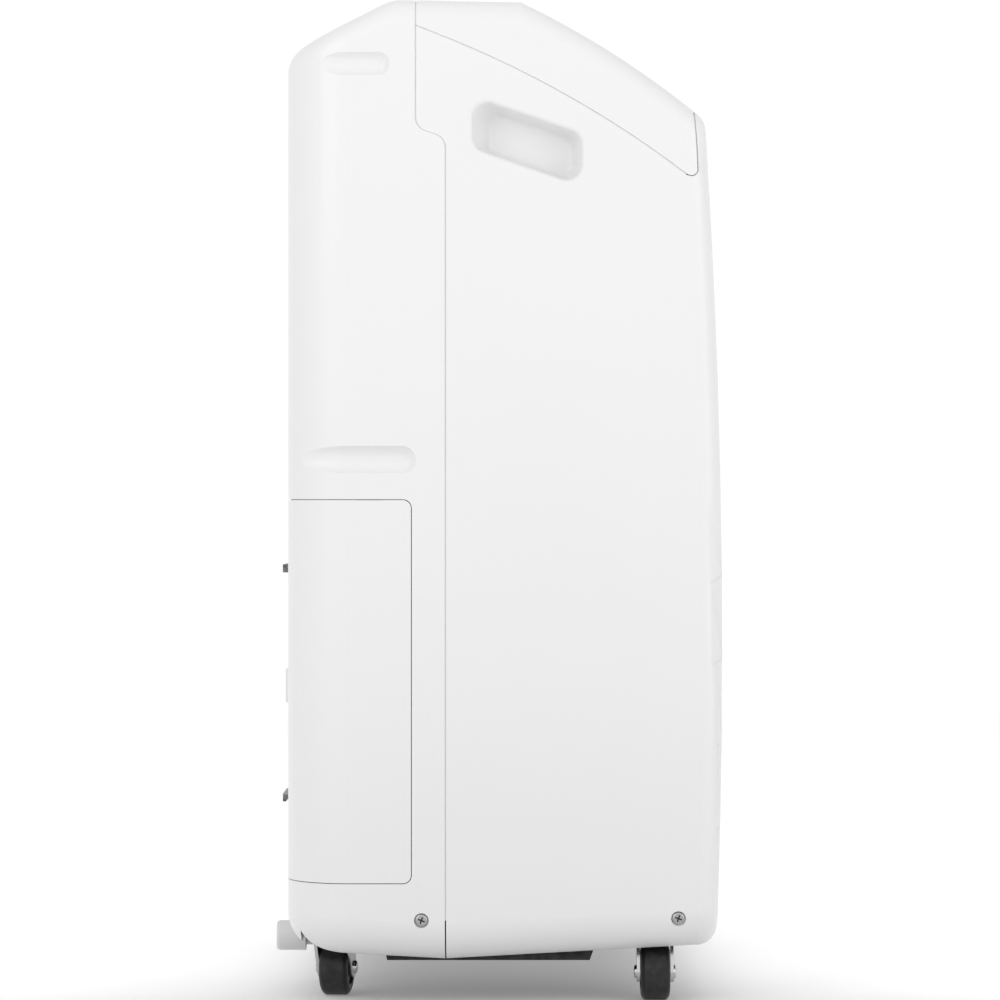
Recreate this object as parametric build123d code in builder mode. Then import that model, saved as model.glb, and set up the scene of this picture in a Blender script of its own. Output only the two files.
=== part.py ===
from build123d import *
import math
import os

# Portable dehumidifier on four swivel casters.
# Millimetres, +Z up, origin on the floor under the middle of the bounding box.
# The control panel and the bowed front face -Y; the air intake and the slide-out
# water tank face +Y.

# ---------------------------------------------------------------- driving sizes
half_width = 190.0
rear_y = 130.0
wall = 2.6                     # thickness of the moulded cases
seam = 0.8                     # gap between neighbouring case mouldings
corner_r = 40.0                # upright corners of the rear face
bottom_r = 24.0                # roll under the sides and the rear
top_r = 16.0                   # soft edge around the top
front_r = 13.0                 # soft edge around the front face
ridge_r = 25.0

# Side profile of the whole case, as (y, z).
rear_low = (rear_y, 32.1)
keel = (31.0, 26.8)
front_low = (-137.5, 36.0)
front_mid = (-140.9, 244.0)
front_top = (-130.2, 548.6)
slope_mid = (-70.5, 591.9)
ridge_front = (-16.0, 621.9)
ridge_rear = (64.0, 623.5)
rear_top = (rear_y, 590.2)

# Joint line between the front and rear cases.
seam_high_y, seam_low_y = 49.2, 30.7
seam_bend_top, seam_bend_low = 542.6, 536.7
seam_bend_r = 9.0

# Tank compartment, open to the rear and both sides.
bay_front_y = 17.0             # rear surface of the compartment's back wall
tank_front_y = 52.0            # front edge of the tank's wrap-round cover
bay_low, bay_high = 76.0, 312.6
tank_gap = 0.5
liner = 2.5

# Air path.
intake_half, intake_low, intake_high = 152.0, 349.0, 564.0
outlet_half, outlet_front, outlet_rear = 130.0, -8.0, 40.0
fan_z = 455.0

# Bottom opening inside the rolled lip, and the base pan in it.
lip_half = 172.0
lip_front, lip_rear = -126.0, 121.0
lip_clear = 62.0               # height up to which the lip opening is cut
pan_half, pan_front, pan_rear = 178.0, -122.0, 119.0
pan_low, pan_floor, pan_high = 45.5, 48.5, 73.4
pan_wall = 3.0

# Case screws on each side, as (y, z).
screw_points = ((45.6, 53.0), (-113.2, 54.2))
screw_seat_x = 187.8
screw_head_r, screw_shank_r = 4.1, 1.9
screw_boss_r = 7.0

# Casters.
caster_half = 145.0
caster_front_y, caster_rear_y = -100.0, 102.0
caster_trail = 12.5
wheel_r, wheel_half = 17.5, 9.1
fork_gap, fork_plate = 19.0, 2.0
fork_top = 45.0
kingpin_r, kingpin_top = 4.0, 59.0
kingpin_boss_r, kingpin_boss_top, kingpin_hole_top = 9.0, 62.5, 60.0
axle_r = 2.5
run_clear = 0.05               # radial clearance of a running fit

# Drain, and the cord gland above it on the other side.
drain_x, drain_z = -106.0, 34.4
drain_r, drain_bore_r = 6.0, 4.0
cap_r, cap_rear_y, cap_front_y = 9.5, 139.4, 121.0
gland_x, gland_z, gland_r, gland_bore_r = 106.0, 64.0, 8.0, 3.8

reach = 400.0                  # longer than the object, for through cuts

os.makedirs("parts", exist_ok=True)


# ---------------------------------------------------------------- shared shapes
def circle_through(a, b, c):
    """Centre of the circle through three (y, z) points, and its radius."""
    d = 2 * (a[0] * (b[1] - c[1]) + b[0] * (c[1] - a[1]) + c[0] * (a[1] - b[1]))
    aa, bb, cc = (p[0] ** 2 + p[1] ** 2 for p in (a, b, c))
    y = (aa * (b[1] - c[1]) + bb * (c[1] - a[1]) + cc * (a[1] - b[1])) / d
    z = (aa * (c[0] - b[0]) + bb * (a[0] - c[0]) + cc * (b[0] - a[0])) / d
    return y, z, math.hypot(a[0] - y, a[1] - z)


slope_cy, slope_cz, slope_r = circle_through(front_top, slope_mid, ridge_front)


def slope_plane(y, depth, x=0.0):
    """Plane tangent to the control slope at y, sunk by depth; local y runs upslope."""
    ny = (y - slope_cy) / slope_r
    nz = math.sqrt(1 - ny ** 2)
    out = slope_r - depth
    origin = (x, slope_cy + ny * out, slope_cz + nz * out)
    return Plane(origin=origin, x_dir=(1, 0, 0), z_dir=(0, ny, nz))


def corner_near(sketch, point):
    """The sketch vertex nearest to a (y, z) point."""
    return sketch.vertices().sort_by(
        lambda v: math.hypot(v.X - point[0], v.Y - point[1]))[0]


def envelope(inset):
    """The outer form of the whole case, moved inwards by inset."""
    with BuildPart() as form:
        with BuildSketch(Plane.YZ) as side:
            with BuildLine():
                Line(rear_low, keel)
                Line(keel, front_low)
                ThreePointArc(front_low, front_mid, front_top)
                ThreePointArc(front_top, slope_mid, ridge_front)
                Line(ridge_front, ridge_rear)
                Line(ridge_rear, rear_top)
                Line(rear_top, rear_low)
            make_face()
            fillet(corner_near(side, ridge_rear), radius=ridge_r)
            if inset:
                offset(amount=-inset, kind=Kind.INTERSECTION, mode=Mode.REPLACE)
        extrude(amount=half_width - inset, both=True)
        uprights = form.edges().filter_by(Axis.Z).group_by(Axis.Y)[-1]
        fillet(uprights, radius=corner_r - inset)
        low = form.edges().filter_by(lambda e: e.bounding_box().max.Z < lip_clear)
        low = low.filter_by(lambda e: e.center().Y > front_mid[0] + 8)
        low = low.filter_by(lambda e: abs(e.center().X) > 100 or e.center().Y > 120)
        fillet(low, radius=bottom_r - inset)
        high = form.edges().filter_by(lambda e: e.bounding_box().min.Z > 541)
        high = high.filter_by(lambda e: not (
            e.geom_type == GeomType.LINE
            and abs(e.tangent_at(0).X) > 0.99
            and e.center().Y < 118))
        high = high.filter_by(lambda e: e.center().Y > front_top[0] + 0.2)
        fillet(high, radius=top_r - inset)
        front = form.faces().sort_by(Axis.Y)[0]
        fillet(front.outer_wire().edges(), radius=front_r - inset)
    return form.part


def scoop(z, front_y, turn_y, radius, out):
    """A finger scoop along one side that runs out round the rear corner."""
    turn_r = 60.0
    x = half_width + out
    turn_x = x - turn_r
    turn = math.radians(40)
    finish = (turn_x + turn_r * math.cos(turn), turn_y + turn_r * math.sin(turn), z)
    with BuildPart() as tool:
        with BuildLine() as path:
            Line((x, front_y, z), (x, turn_y, z))
            TangentArc((x, turn_y, z), finish, tangent=(0, 1, 0))
        with BuildSketch(Plane(origin=(x, front_y, z), z_dir=(0, 1, 0))):
            Circle(radius)
        sweep(path=path.line)
        with Locations((x, front_y, z)):
            Sphere(radius)
    return tool.part


def pocket(grow, floor_x):
    """Handle pocket, drawn as the hollow; grow makes the cup around it."""
    mouth = ((15.6, 562.8), (-54.5, 538.8), (-54.5, 505.8), (15.6, 530.2))
    floor = ((3.6, 554.4), (-48.0, 536.6), (-48.0, 511.4), (3.6, 529.2))
    with BuildPart() as tool:
        for corners, x, radius in ((mouth, half_width + 1.5, 9.5), (floor, floor_x, 7.5)):
            with BuildSketch(Plane.YZ.offset(x)) as outline:
                Polygon(*corners, align=None)
                fillet(outline.vertices(), radius=radius)
                if grow:
                    offset(amount=grow)
        loft(ruled=True)
        bottom = tool.faces().filter_by(Axis.X).sort_by(Axis.X)[0]
        fillet(bottom.outer_wire().edges(), radius=4.5 + grow)
    return tool.part


def both_sides(tool):
    """A tool made on the +X side, and its mirror image."""
    return [tool, mirror(tool, about=Plane.YZ)]


skin = envelope(0)
scoop_sizes = ((582.2, 72.5, 108.0, 8.2, 4.0), (337.7, 57.5, 92.0, 9.5, 4.5))
scoops = [s for size in scoop_sizes for s in both_sides(scoop(*size))]
pockets = both_sides(pocket(0, 169.0))

with BuildPart() as hollow:
    add(envelope(wall))
    for z, front_y, turn_y, radius, out in scoop_sizes:
        for tool in both_sides(scoop(z, front_y, turn_y, radius + wall, out)):
            add(tool, mode=Mode.SUBTRACT)
    for tool in both_sides(pocket(wall, 169.0 - wall)):
        add(tool, mode=Mode.SUBTRACT)
    for y, z in screw_points:
        with BuildSketch(Plane.YZ) as bosses:
            with Locations((y, z)):
                Circle(screw_boss_r)
        for sign in (1, -1):
            extrude(bosses.sketch.moved(Location((sign * 185.0, 0, 0))),
                    amount=sign * 6.0, mode=Mode.SUBTRACT)
hollow = hollow.part


# ------------------------------------------------------------- case region plans
def seam_region(shift):
    """Side-view area behind the front/rear joint line, moved rearwards by shift."""
    with BuildSketch(Plane.YZ) as region:
        with BuildLine():
            Polyline((seam_high_y + shift, 700), (seam_high_y + shift, seam_bend_top),
                     (seam_low_y + shift, seam_bend_low), (seam_low_y + shift, 0),
                     (200, 0), (200, 700), close=True)
        make_face()
        for point in ((seam_high_y + shift, seam_bend_top), (seam_low_y + shift, seam_bend_low)):
            fillet(corner_near(region, point), radius=seam_bend_r)
    return region.sketch


def cover_region(grow):
    """Side-view area of the top cover, grown by grow."""
    with BuildSketch(Plane.YZ) as region:
        with BuildLine():
            Line((seam_high_y - seam / 2, 700), (seam_high_y - seam / 2, 606.0))
            Line((seam_high_y - seam / 2, 606.0), (41.9, 603.3))
            ThreePointArc((41.9, 603.3), (-43.5, 563.4), (-118.6, 514.0))
            Line((-118.6, 514.0), (-125.0, 511.8))
            Line((-125.0, 511.8), (-124.4, 529.0))
            Line((-124.4, 529.0), (-122.7, 552.3))
            Line((-122.7, 552.3), (-122.7, 700))
            Line((-122.7, 700), (seam_high_y - seam / 2, 700))
        make_face()
        fillet(corner_near(region, (-125.0, 511.8)), radius=3.5)
        if grow:
            offset(amount=grow)
    return region.sketch


def bay_region(grow):
    """Side-view area of the tank's outer cover, grown by grow."""
    with BuildSketch(Plane.YZ) as region:
        with BuildLine():
            Polyline((tank_front_y - grow, bay_low - grow), (200, bay_low - grow),
                     (200, bay_high + grow), (tank_front_y - grow, bay_high + grow), close=True)
        make_face()
        for z in (bay_low - grow, bay_high + grow):
            fillet(corner_near(region, (tank_front_y - grow, z)), radius=5.0 + grow)
    return region.sketch


# ------------------------------------------------------------------- front case
with BuildPart() as front_shell:
    add(skin)
    for tool in pockets:
        add(tool, mode=Mode.SUBTRACT)
    rim = front_shell.edges().filter_by(
        lambda e: abs(abs(e.center().X) - half_width) < 0.01
        and 500 < e.center().Z < 566 and -58 < e.center().Y < 20)
    fillet(rim, radius=3.0)
    add(hollow, mode=Mode.SUBTRACT)
    extrude(seam_region(-seam / 2), amount=reach, both=True, mode=Mode.SUBTRACT)
    extrude(cover_region(seam), amount=reach, both=True, mode=Mode.SUBTRACT)
    with BuildSketch(Plane.XY):
        with Locations((0, (lip_front + 100) / 2)):
            Rectangle(2 * lip_half, 100 - lip_front)
    extrude(amount=lip_clear, mode=Mode.SUBTRACT)
    for y, z in screw_points[1:]:
        with BuildSketch(Plane.YZ):
            with Locations((y, z)):
                Circle(screw_shank_r + 0.2)
        extrude(amount=reach, both=True, mode=Mode.SUBTRACT)
        for sign in (1, -1):
            with BuildSketch(Plane.YZ.offset(sign * screw_seat_x)):
                with Locations((y, z)):
                    Circle(screw_head_r + 0.5)
            extrude(amount=sign * 10, mode=Mode.SUBTRACT)
front_shell.part.label = "front_shell"
export_step(front_shell.part, "parts/front_shell.step")

# -------------------------------------------------------------------- rear case
with BuildPart() as rear_shell:
    add(skin)
    for tool in scoops:
        add(tool, mode=Mode.SUBTRACT)
    add(hollow, mode=Mode.SUBTRACT)
    extrude(seam_region(seam / 2), amount=reach, both=True, mode=Mode.INTERSECT)
    extrude(bay_region(tank_gap), amount=reach, both=True, mode=Mode.SUBTRACT)
    with BuildSketch(Plane.XZ.offset(-100)):
        with Locations((0, (intake_low + intake_high) / 2)):
            RectangleRounded(2 * intake_half, intake_high - intake_low, 6)
    extrude(amount=-60, mode=Mode.SUBTRACT)
    with BuildSketch(Plane.XY):
        with Locations((0, lip_rear / 2)):
            Rectangle(2 * lip_half, lip_rear)
    extrude(amount=lip_clear, mode=Mode.SUBTRACT)
    with BuildSketch(Plane.XZ.offset(-100)):
        with Locations((drain_x, drain_z)):
            Circle(cap_r + 1.5)
        with Locations((gland_x, gland_z)):
            Circle(gland_r + 0.1)
    extrude(amount=-60, mode=Mode.SUBTRACT)
    for y, z in screw_points[:1]:
        with BuildSketch(Plane.YZ):
            with Locations((y, z)):
                Circle(screw_shank_r + 0.2)
        extrude(amount=reach, both=True, mode=Mode.SUBTRACT)
        for sign in (1, -1):
            with BuildSketch(Plane.YZ.offset(sign * screw_seat_x)):
                with Locations((y, z)):
                    Circle(screw_head_r + 0.5)
            extrude(amount=sign * 10, mode=Mode.SUBTRACT)
rear_shell.part.label = "rear_shell"
export_step(rear_shell.part, "parts/rear_shell.step")

# -------------------------------------------------------------------- top cover
fascia_half, fascia_front, fascia_rear = 118.0, -112.0, -30.0
fascia_sink, fascia_seat, fascia_back = 0.8, wall, 4.2
outlet_back = 8.0
opening_low = 480.0            # below every opening in the top


def plan_window(grow, half, front, rear, radius):
    """Rounded rectangle in plan, grown by grow, as a tall prism."""
    with BuildPart() as prism:
        with BuildSketch(Plane.XY.offset(opening_low)):
            with Locations((0, (front + rear) / 2)):
                RectangleRounded(2 * (half + grow), rear - front + 2 * grow, radius + grow)
        extrude(amount=200)
    return prism.part


fascia_plan = (fascia_half, fascia_front, fascia_rear, 9.0)
outlet_plan = (outlet_half, outlet_front, outlet_rear, 6.0)

with BuildPart() as top_cover:
    add(skin)
    add(hollow, mode=Mode.SUBTRACT)
    extrude(cover_region(0), amount=reach, both=True, mode=Mode.INTERSECT)
    add(plan_window(0.2, *fascia_plan), mode=Mode.SUBTRACT)
    add(plan_window(0.2, *outlet_plan), mode=Mode.SUBTRACT)
top_cover.part.label = "top_cover"
export_step(top_cover.part, "parts/top_cover.step")

# ---------------------------------------------------------------- outlet grille
with BuildPart() as outlet_grille:
    add(skin)
    add(envelope(outlet_back), mode=Mode.SUBTRACT)
    add(plan_window(0, *outlet_plan), mode=Mode.INTERSECT)
    with BuildSketch(Plane.XY.offset(600)):
        with Locations((0, (outlet_front + outlet_rear) / 2)):
            with GridLocations(84.0, 7.6, 3, 6):
                SlotOverall(79.0, 5.2)
    extrude(amount=40, mode=Mode.SUBTRACT)
with BuildPart() as outlet_flange:
    add(envelope(wall))
    add(envelope(wall + 2.0), mode=Mode.SUBTRACT)
    add(plan_window(4, *outlet_plan), mode=Mode.INTERSECT)
    add(plan_window(-0.5, *outlet_plan), mode=Mode.SUBTRACT)
with BuildPart() as outlet_grille_whole:
    add(outlet_grille.part)
    add(outlet_flange.part)
outlet_grille_whole.part.label = "outlet_grille"
export_step(outlet_grille_whole.part, "parts/outlet_grille.step")

# ---------------------------------------------------------------- control panel
button_y, light_y, board_y = -93.0, -76.0, -72.0
button_names = ("power", "mode", "fan_speed", "timer", "humidity_down", "humidity_up")
button_pitch = 34.0
button_xs = [(i - (len(button_names) - 1) / 2) * button_pitch for i in range(len(button_names))]
button_r, button_clear, button_travel = 7.0, 0.3, 0.8
button_top, button_flange, button_base = 0.1, 4.6, 6.2
light_r = 1.5
light_clear = lens_clear = 0.1
lens_plan = (36.0, -64.0, -38.0, 3.0)
through_depth = 12.0           # from the slope down past the fascia

fascia_skin = envelope(fascia_sink)
fascia_seat_form = envelope(fascia_seat)
fascia_back_form = envelope(fascia_back)
with BuildPart() as control_fascia:
    add(fascia_seat_form)
    add(fascia_back_form, mode=Mode.SUBTRACT)
    add(plan_window(4, *fascia_plan), mode=Mode.INTERSECT)
with BuildPart() as fascia_face:
    add(fascia_skin)
    add(fascia_back_form, mode=Mode.SUBTRACT)
    add(plan_window(0, *fascia_plan), mode=Mode.INTERSECT)
with BuildPart() as control_fascia_whole:
    add(control_fascia.part)
    add(fascia_face.part)
    add(plan_window(0, *lens_plan), mode=Mode.SUBTRACT)
    for x in button_xs:
        with BuildSketch(slope_plane(button_y, through_depth, x)):
            Circle(button_r + button_clear)
        extrude(amount=2 * through_depth, mode=Mode.SUBTRACT)
        with BuildSketch(slope_plane(light_y, through_depth, x)):
            Circle(light_r + light_clear)
        extrude(amount=2 * through_depth, mode=Mode.SUBTRACT)
control_fascia_whole.part.label = "control_fascia"
export_step(control_fascia_whole.part, "parts/control_fascia.step")

with BuildPart() as display_lens:
    add(fascia_skin)
    add(fascia_back_form, mode=Mode.SUBTRACT)
    add(plan_window(-lens_clear, *lens_plan), mode=Mode.INTERSECT)
display_lens.part.label = "display_lens"
export_step(display_lens.part, "parts/display_lens.step")

for name, x in zip(button_names, button_xs):
    with BuildPart() as button:
        with BuildSketch(slope_plane(button_y, button_base, x)):
            Circle(button_r + 1.6)
        extrude(amount=button_base - button_flange)
        with BuildSketch(slope_plane(button_y, button_flange, x)):
            Circle(button_r)
        extrude(amount=button_flange - button_top)
        crown = button.faces().sort_by(Axis.Z)[-1]
        fillet(crown.edges(), radius=0.8)
    button.part.label = f"{name}_button"
    export_step(button.part, f"parts/{name}_button.step")

with BuildPart() as indicator_lights:
    for x in button_xs:
        with BuildSketch(slope_plane(light_y, 7.5, x)):
            Circle(light_r)
        extrude(amount=7.5 - fascia_sink)
indicator_lights.part.label = "indicator_lights"
export_step(indicator_lights.part, "parts/indicator_lights.step")

board_depth, board_thick = 9.4, 1.6
with BuildPart() as control_board:
    with BuildSketch(slope_plane(board_y, board_depth + board_thick)):
        Rectangle(206, 72)
    extrude(amount=board_thick)
    board_face = slope_plane(board_y, board_depth)
    with BuildSketch(board_face):
        with Locations(*[(x, button_y - board_y - 4.4) for x in button_xs]):
            Rectangle(6, 6)
    extrude(amount=1.4)
    with BuildSketch(board_face):
        with Locations((0, 25.0)):
            Rectangle(56, 18)
    extrude(amount=3.6)
    with BuildSketch(slope_plane(board_y, board_depth + board_thick)):
        with Locations((-60, 8)):
            Rectangle(18, 18)
        with Locations((40, 6)):
            Rectangle(12, 20)
        with Locations((80, 4)):
            Rectangle(22, 10)
    extrude(amount=-3.0)
control_board.part.label = "control_board"
export_step(control_board.part, "parts/control_board.step")

# ------------------------------------------------------------------ case screws
with BuildPart() as case_screws:
    for y, z in screw_points:
        for sign in (1, -1):
            with BuildSketch(Plane.YZ.offset(sign * screw_seat_x)):
                with Locations((y, z)):
                    Circle(screw_head_r)
            extrude(amount=sign * 1.9)
            with BuildSketch(Plane.YZ.offset(sign * screw_seat_x)):
                with Locations((y, z)):
                    Circle(screw_shank_r)
            extrude(amount=-sign * 14.0)
    rims = case_screws.edges().filter_by(GeomType.CIRCLE)
    rims = rims.filter_by(lambda e: abs(e.center().X) > screw_seat_x + 1.8)
    fillet(rims, radius=1.2)
    for y, z in screw_points:
        for sign in (1, -1):
            with BuildSketch(Plane.YZ.offset(sign * (screw_seat_x + 0.7))):
                with Locations(Location((y, z), 20)):
                    Rectangle(4.4, 0.9)
                    Rectangle(0.9, 4.4)
            extrude(amount=sign * 3.0, mode=Mode.SUBTRACT)
case_screws.part.label = "case_screws"
export_step(case_screws.part, "parts/case_screws.step")

# --------------------------------------------------------------------- base pan
sump_half, sump_front, sump_rear, sump_low = 165.0, -59.0, 67.5, 25.6
sump_wall, sump_chamfer = 2.5, 7.0
compressor_x, compressor_y = 60.0, -65.0
foot_circle = 62.0
foot_points = [(compressor_x + foot_circle * math.cos(math.radians(a)),
                compressor_y + foot_circle * math.sin(math.radians(a))) for a in (90, 210, 330)]
stud_r, grommet_low, grommet_high = 3.0, 51.0, 64.0
caster_spots = {"front_left": (-caster_half, caster_front_y, 180.0),
                "front_right": (caster_half, caster_front_y, 0.0),
                "rear_left": (-caster_half, caster_rear_y, -8.0),
                "rear_right": (caster_half, caster_rear_y, 8.0)}

with BuildPart() as base_pan:
    with BuildSketch(Plane.XY.offset(pan_low)):
        with Locations((0, (pan_front + pan_rear) / 2)):
            RectangleRounded(2 * pan_half, pan_rear - pan_front, 22)
    extrude(amount=pan_high - pan_low)
    with BuildSketch(Plane.XY.offset(pan_floor)):
        with Locations((0, (pan_front + pan_rear) / 2)):
            RectangleRounded(2 * (pan_half - pan_wall), pan_rear - pan_front - 2 * pan_wall, 19)
    extrude(amount=pan_high - pan_floor, mode=Mode.SUBTRACT)
    with BuildSketch(Plane.YZ):
        Polygon((sump_front - sump_chamfer, pan_low + 0.1), (sump_front, sump_low),
                (sump_rear, sump_low), (sump_rear + 4, pan_low + 0.1), align=None)
    extrude(amount=sump_half, both=True)
    with BuildSketch(Plane.YZ):
        Polygon((sump_front - sump_chamfer + 3.4, pan_floor + 1), (sump_front + 2, sump_low + sump_wall),
                (sump_rear - sump_wall, sump_low + sump_wall), (sump_rear + 0.6, pan_floor + 1), align=None)
    extrude(amount=sump_half - sump_wall, both=True, mode=Mode.SUBTRACT)
    for x, y in foot_points:
        boss_low = sump_low if sump_front < y < sump_rear else pan_low
        with BuildSketch(Plane.XY.offset(boss_low)):
            with Locations((x, y)):
                Circle(13.0)
        extrude(amount=grommet_low - boss_low)
    with BuildSketch(Plane.XY.offset(pan_low)):
        with Locations(*[(x, y) for x, y, _ in caster_spots.values()]):
            Circle(kingpin_boss_r)
    extrude(amount=kingpin_boss_top - pan_low)
    with BuildSketch(Plane.XY.offset(pan_low)):
        with Locations(*[(x, y) for x, y, _ in caster_spots.values()]):
            Circle(kingpin_r + run_clear)
    extrude(amount=kingpin_hole_top - pan_low, mode=Mode.SUBTRACT)
    for y, z in screw_points:
        for sign in (1, -1):
            with BuildSketch(Plane.YZ.offset(sign * (pan_half - 8))):
                with Locations((y, z)):
                    Circle(6.0)
            extrude(amount=sign * 14.0)
            with BuildSketch(Plane.YZ.offset(sign * (pan_half - 6))):
                with Locations((y, z)):
                    Circle(screw_shank_r + run_clear)
            extrude(amount=sign * 20, mode=Mode.SUBTRACT)
    with BuildSketch(Plane.XZ.offset(-sump_rear + 6)):
        with Locations((drain_x, drain_z)):
            Circle(drain_r + run_clear)
    extrude(amount=-12, mode=Mode.SUBTRACT)
base_pan.part.label = "base_pan"
export_step(base_pan.part, "parts/base_pan.step")

# ------------------------------------------------------- drain pipe, cap, gland
with BuildPart() as drain_port:
    with BuildSketch(Plane.XZ.offset(-(sump_rear - 2))):
        with Locations((drain_x, drain_z)):
            Circle(drain_r)
    extrude(amount=-(132.0 - sump_rear + 2))
    with BuildSketch(Plane.XZ.offset(-(sump_rear + 4.0))):
        with Locations((drain_x, drain_z)):
            Circle(drain_r + 2.5)
    extrude(amount=-2.5)
    for y in (123.0, 126.0, 129.0):
        with BuildSketch(Plane.XZ.offset(-y)):
            with Locations((drain_x, drain_z)):
                Circle(drain_r + 0.7)
        extrude(amount=-1.2)
    with BuildSketch(Plane.XZ.offset(-(sump_rear - 5))):
        with Locations((drain_x, drain_z)):
            Circle(drain_bore_r)
    extrude(amount=-80, mode=Mode.SUBTRACT)
drain_port.part.label = "drain_port"
export_step(drain_port.part, "parts/drain_port.step")

with BuildPart() as drain_cap:
    with BuildSketch(Plane.XZ.offset(-cap_front_y)):
        with Locations((drain_x, drain_z)):
            Circle(cap_r)
    extrude(amount=-(cap_rear_y - cap_front_y))
    end = drain_cap.faces().sort_by(Axis.Y)[-1]
    chamfer(end.edges(), length=1.6, length2=0.8)
    with BuildSketch(Plane.XZ.offset(-cap_front_y)):
        with Locations((drain_x, drain_z)):
            Circle(drain_r + 1.0)
    extrude(amount=-14.0, mode=Mode.SUBTRACT)
drain_cap.part.label = "drain_cap"
export_step(drain_cap.part, "parts/drain_cap.step")

with BuildPart() as cord_gland:
    with BuildSketch(Plane.XZ.offset(-120.0)):
        with Locations((gland_x, gland_z)):
            Circle(gland_r)
    extrude(amount=-10.0)
    with BuildSketch(Plane.XZ.offset(-rear_y)):
        with Locations((gland_x, gland_z)):
            Circle(gland_r + 2.0)
    extrude(amount=-2.2)
    rim = cord_gland.faces().sort_by(Axis.Y)[-1]
    fillet(rim.edges(), radius=1.0)
    with BuildSketch(Plane.XZ.offset(-110.0)):
        with Locations((gland_x, gland_z)):
            Circle(gland_bore_r)
    extrude(amount=-40.0, mode=Mode.SUBTRACT)
cord_gland.part.label = "cord_gland"
export_step(cord_gland.part, "parts/cord_gland.step")

# ----------------------------------------------------------- tank compartment
drip_x, drip_y, drip_r = 0.0, 84.0, 9.0
with BuildPart() as tank_bay:
    add(envelope(wall + 0.15))
    with BuildSketch(Plane.YZ):
        Polygon((bay_front_y - liner, bay_low - liner), (reach, bay_low - liner),
                (reach, bay_high + liner), (bay_front_y - liner, bay_high + liner), align=None)
    extrude(amount=reach, both=True, mode=Mode.INTERSECT)
    with BuildSketch(Plane.YZ):
        Polygon((bay_front_y, bay_low - tank_gap), (reach, bay_low - tank_gap),
                (reach, bay_high + tank_gap), (bay_front_y, bay_high + tank_gap), align=None)
    extrude(amount=reach, both=True, mode=Mode.SUBTRACT)
    with BuildSketch(Plane.XY.offset(bay_high - 1)):
        with Locations((drip_x, drip_y)):
            Circle(drip_r + 1.0)
    extrude(amount=8, mode=Mode.SUBTRACT)
tank_bay.part.label = "tank_bay"
export_step(tank_bay.part, "parts/tank_bay.step")

# ------------------------------------------------------------------- water tank
bin_half, bin_front, bin_rear = 172.0, 20.0, 109.0
bin_low, bin_high, bin_wall = 77.0, 300.0, 2.2
bin_r = 14.0
bin_mid = (bin_front + bin_rear) / 2
grip_half, grip_low, grip_high, grip_y = 60.0, 177.5, 205.9, 136.8
finger_half, finger_low, finger_y = 52.0, 148.0, 114.0
window_x, window_half, window_low, window_high = 95.0, 8.0, 110.0, 270.0
hook_half, hook_thick, hook_tip = 30.0, 3.2, 140.9
hook_heights = ((266.4, 1), (116.6, -1))
float_x, float_y, float_z, float_pin_r = 110.0, 30.0, 284.0, 2.0

with BuildPart() as tank_bin:
    with BuildSketch(Plane.XY.offset(bin_low)):
        with Locations((0, bin_mid)):
            RectangleRounded(2 * bin_half, bin_rear - bin_front, bin_r)
    extrude(amount=bin_high - bin_low)
    fillet(tank_bin.faces().sort_by(Axis.Z)[0].edges(), radius=8.0)
    top = tank_bin.faces().sort_by(Axis.Z)[-1]
    offset(amount=-bin_wall, openings=top)
    with BuildSketch(Plane.YZ.offset(float_x - 18.0)) as ears:
        with Locations((float_y - 1.5, float_z)):
            Rectangle(14.0, 16.0)
    extrude(amount=3.0)
    extrude(ears.sketch.moved(Location((33.0, 0, 0))), amount=3.0)
    with BuildSketch(Plane.YZ.offset(float_x - 30.0)):
        with Locations((float_y, float_z)):
            Circle(float_pin_r + run_clear)
    extrude(amount=60.0, mode=Mode.SUBTRACT)
tank_bin.part.label = "tank_bin"
export_step(tank_bin.part, "parts/tank_bin.step")

with BuildPart() as tank_float:
    with BuildSketch(Plane.YZ.offset(float_x - 18.5)):
        with Locations((float_y, float_z)):
            Circle(float_pin_r)
    extrude(amount=37.0)
    with BuildSketch(Plane.YZ.offset(float_x - 5.0)):
        with BuildLine():
            Polyline((float_y - 3.5, float_z - 3.5), (float_y + 22, float_z - 6.0),
                     (float_y + 22, float_z + 1.0), (float_y - 3.5, float_z + 3.5), close=True)
        make_face()
    extrude(amount=10.0)
    with BuildSketch(Plane.YZ.offset(float_x - 13.5)):
        with Locations((float_y + 37.0, float_z - 12.0)):
            RectangleRounded(50.0, 20.0, 5.0)
    extrude(amount=27.0)
tank_float.part.label = "tank_float"
export_step(tank_float.part, "parts/tank_float.step")

with BuildPart() as tank_lid:
    with BuildSketch(Plane.XY.offset(bin_high)):
        with Locations((0, bin_mid)):
            RectangleRounded(2 * bin_half + 4.0, bin_rear - bin_front + 4.0, bin_r + 2.0)
    extrude(amount=4.0)
    fillet(tank_lid.faces().sort_by(Axis.Z)[-1].edges(), radius=1.6)
    with BuildSketch(Plane.XY.offset(bin_high)):
        with Locations((drip_x, drip_y - 4.0)):
            RectangleRounded(70.0, 38.0, 10.0)
    extrude(amount=8.0, mode=Mode.SUBTRACT)
    with BuildSketch(Plane.XY.offset(bin_high + 4.0)):
        with Locations((-110.0, bin_mid), (110.0, bin_mid)):
            SlotOverall(60.0, 14.0)
    extrude(amount=-2.2, mode=Mode.SUBTRACT)
tank_lid.part.label = "tank_lid"
export_step(tank_lid.part, "parts/tank_lid.step")

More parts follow.
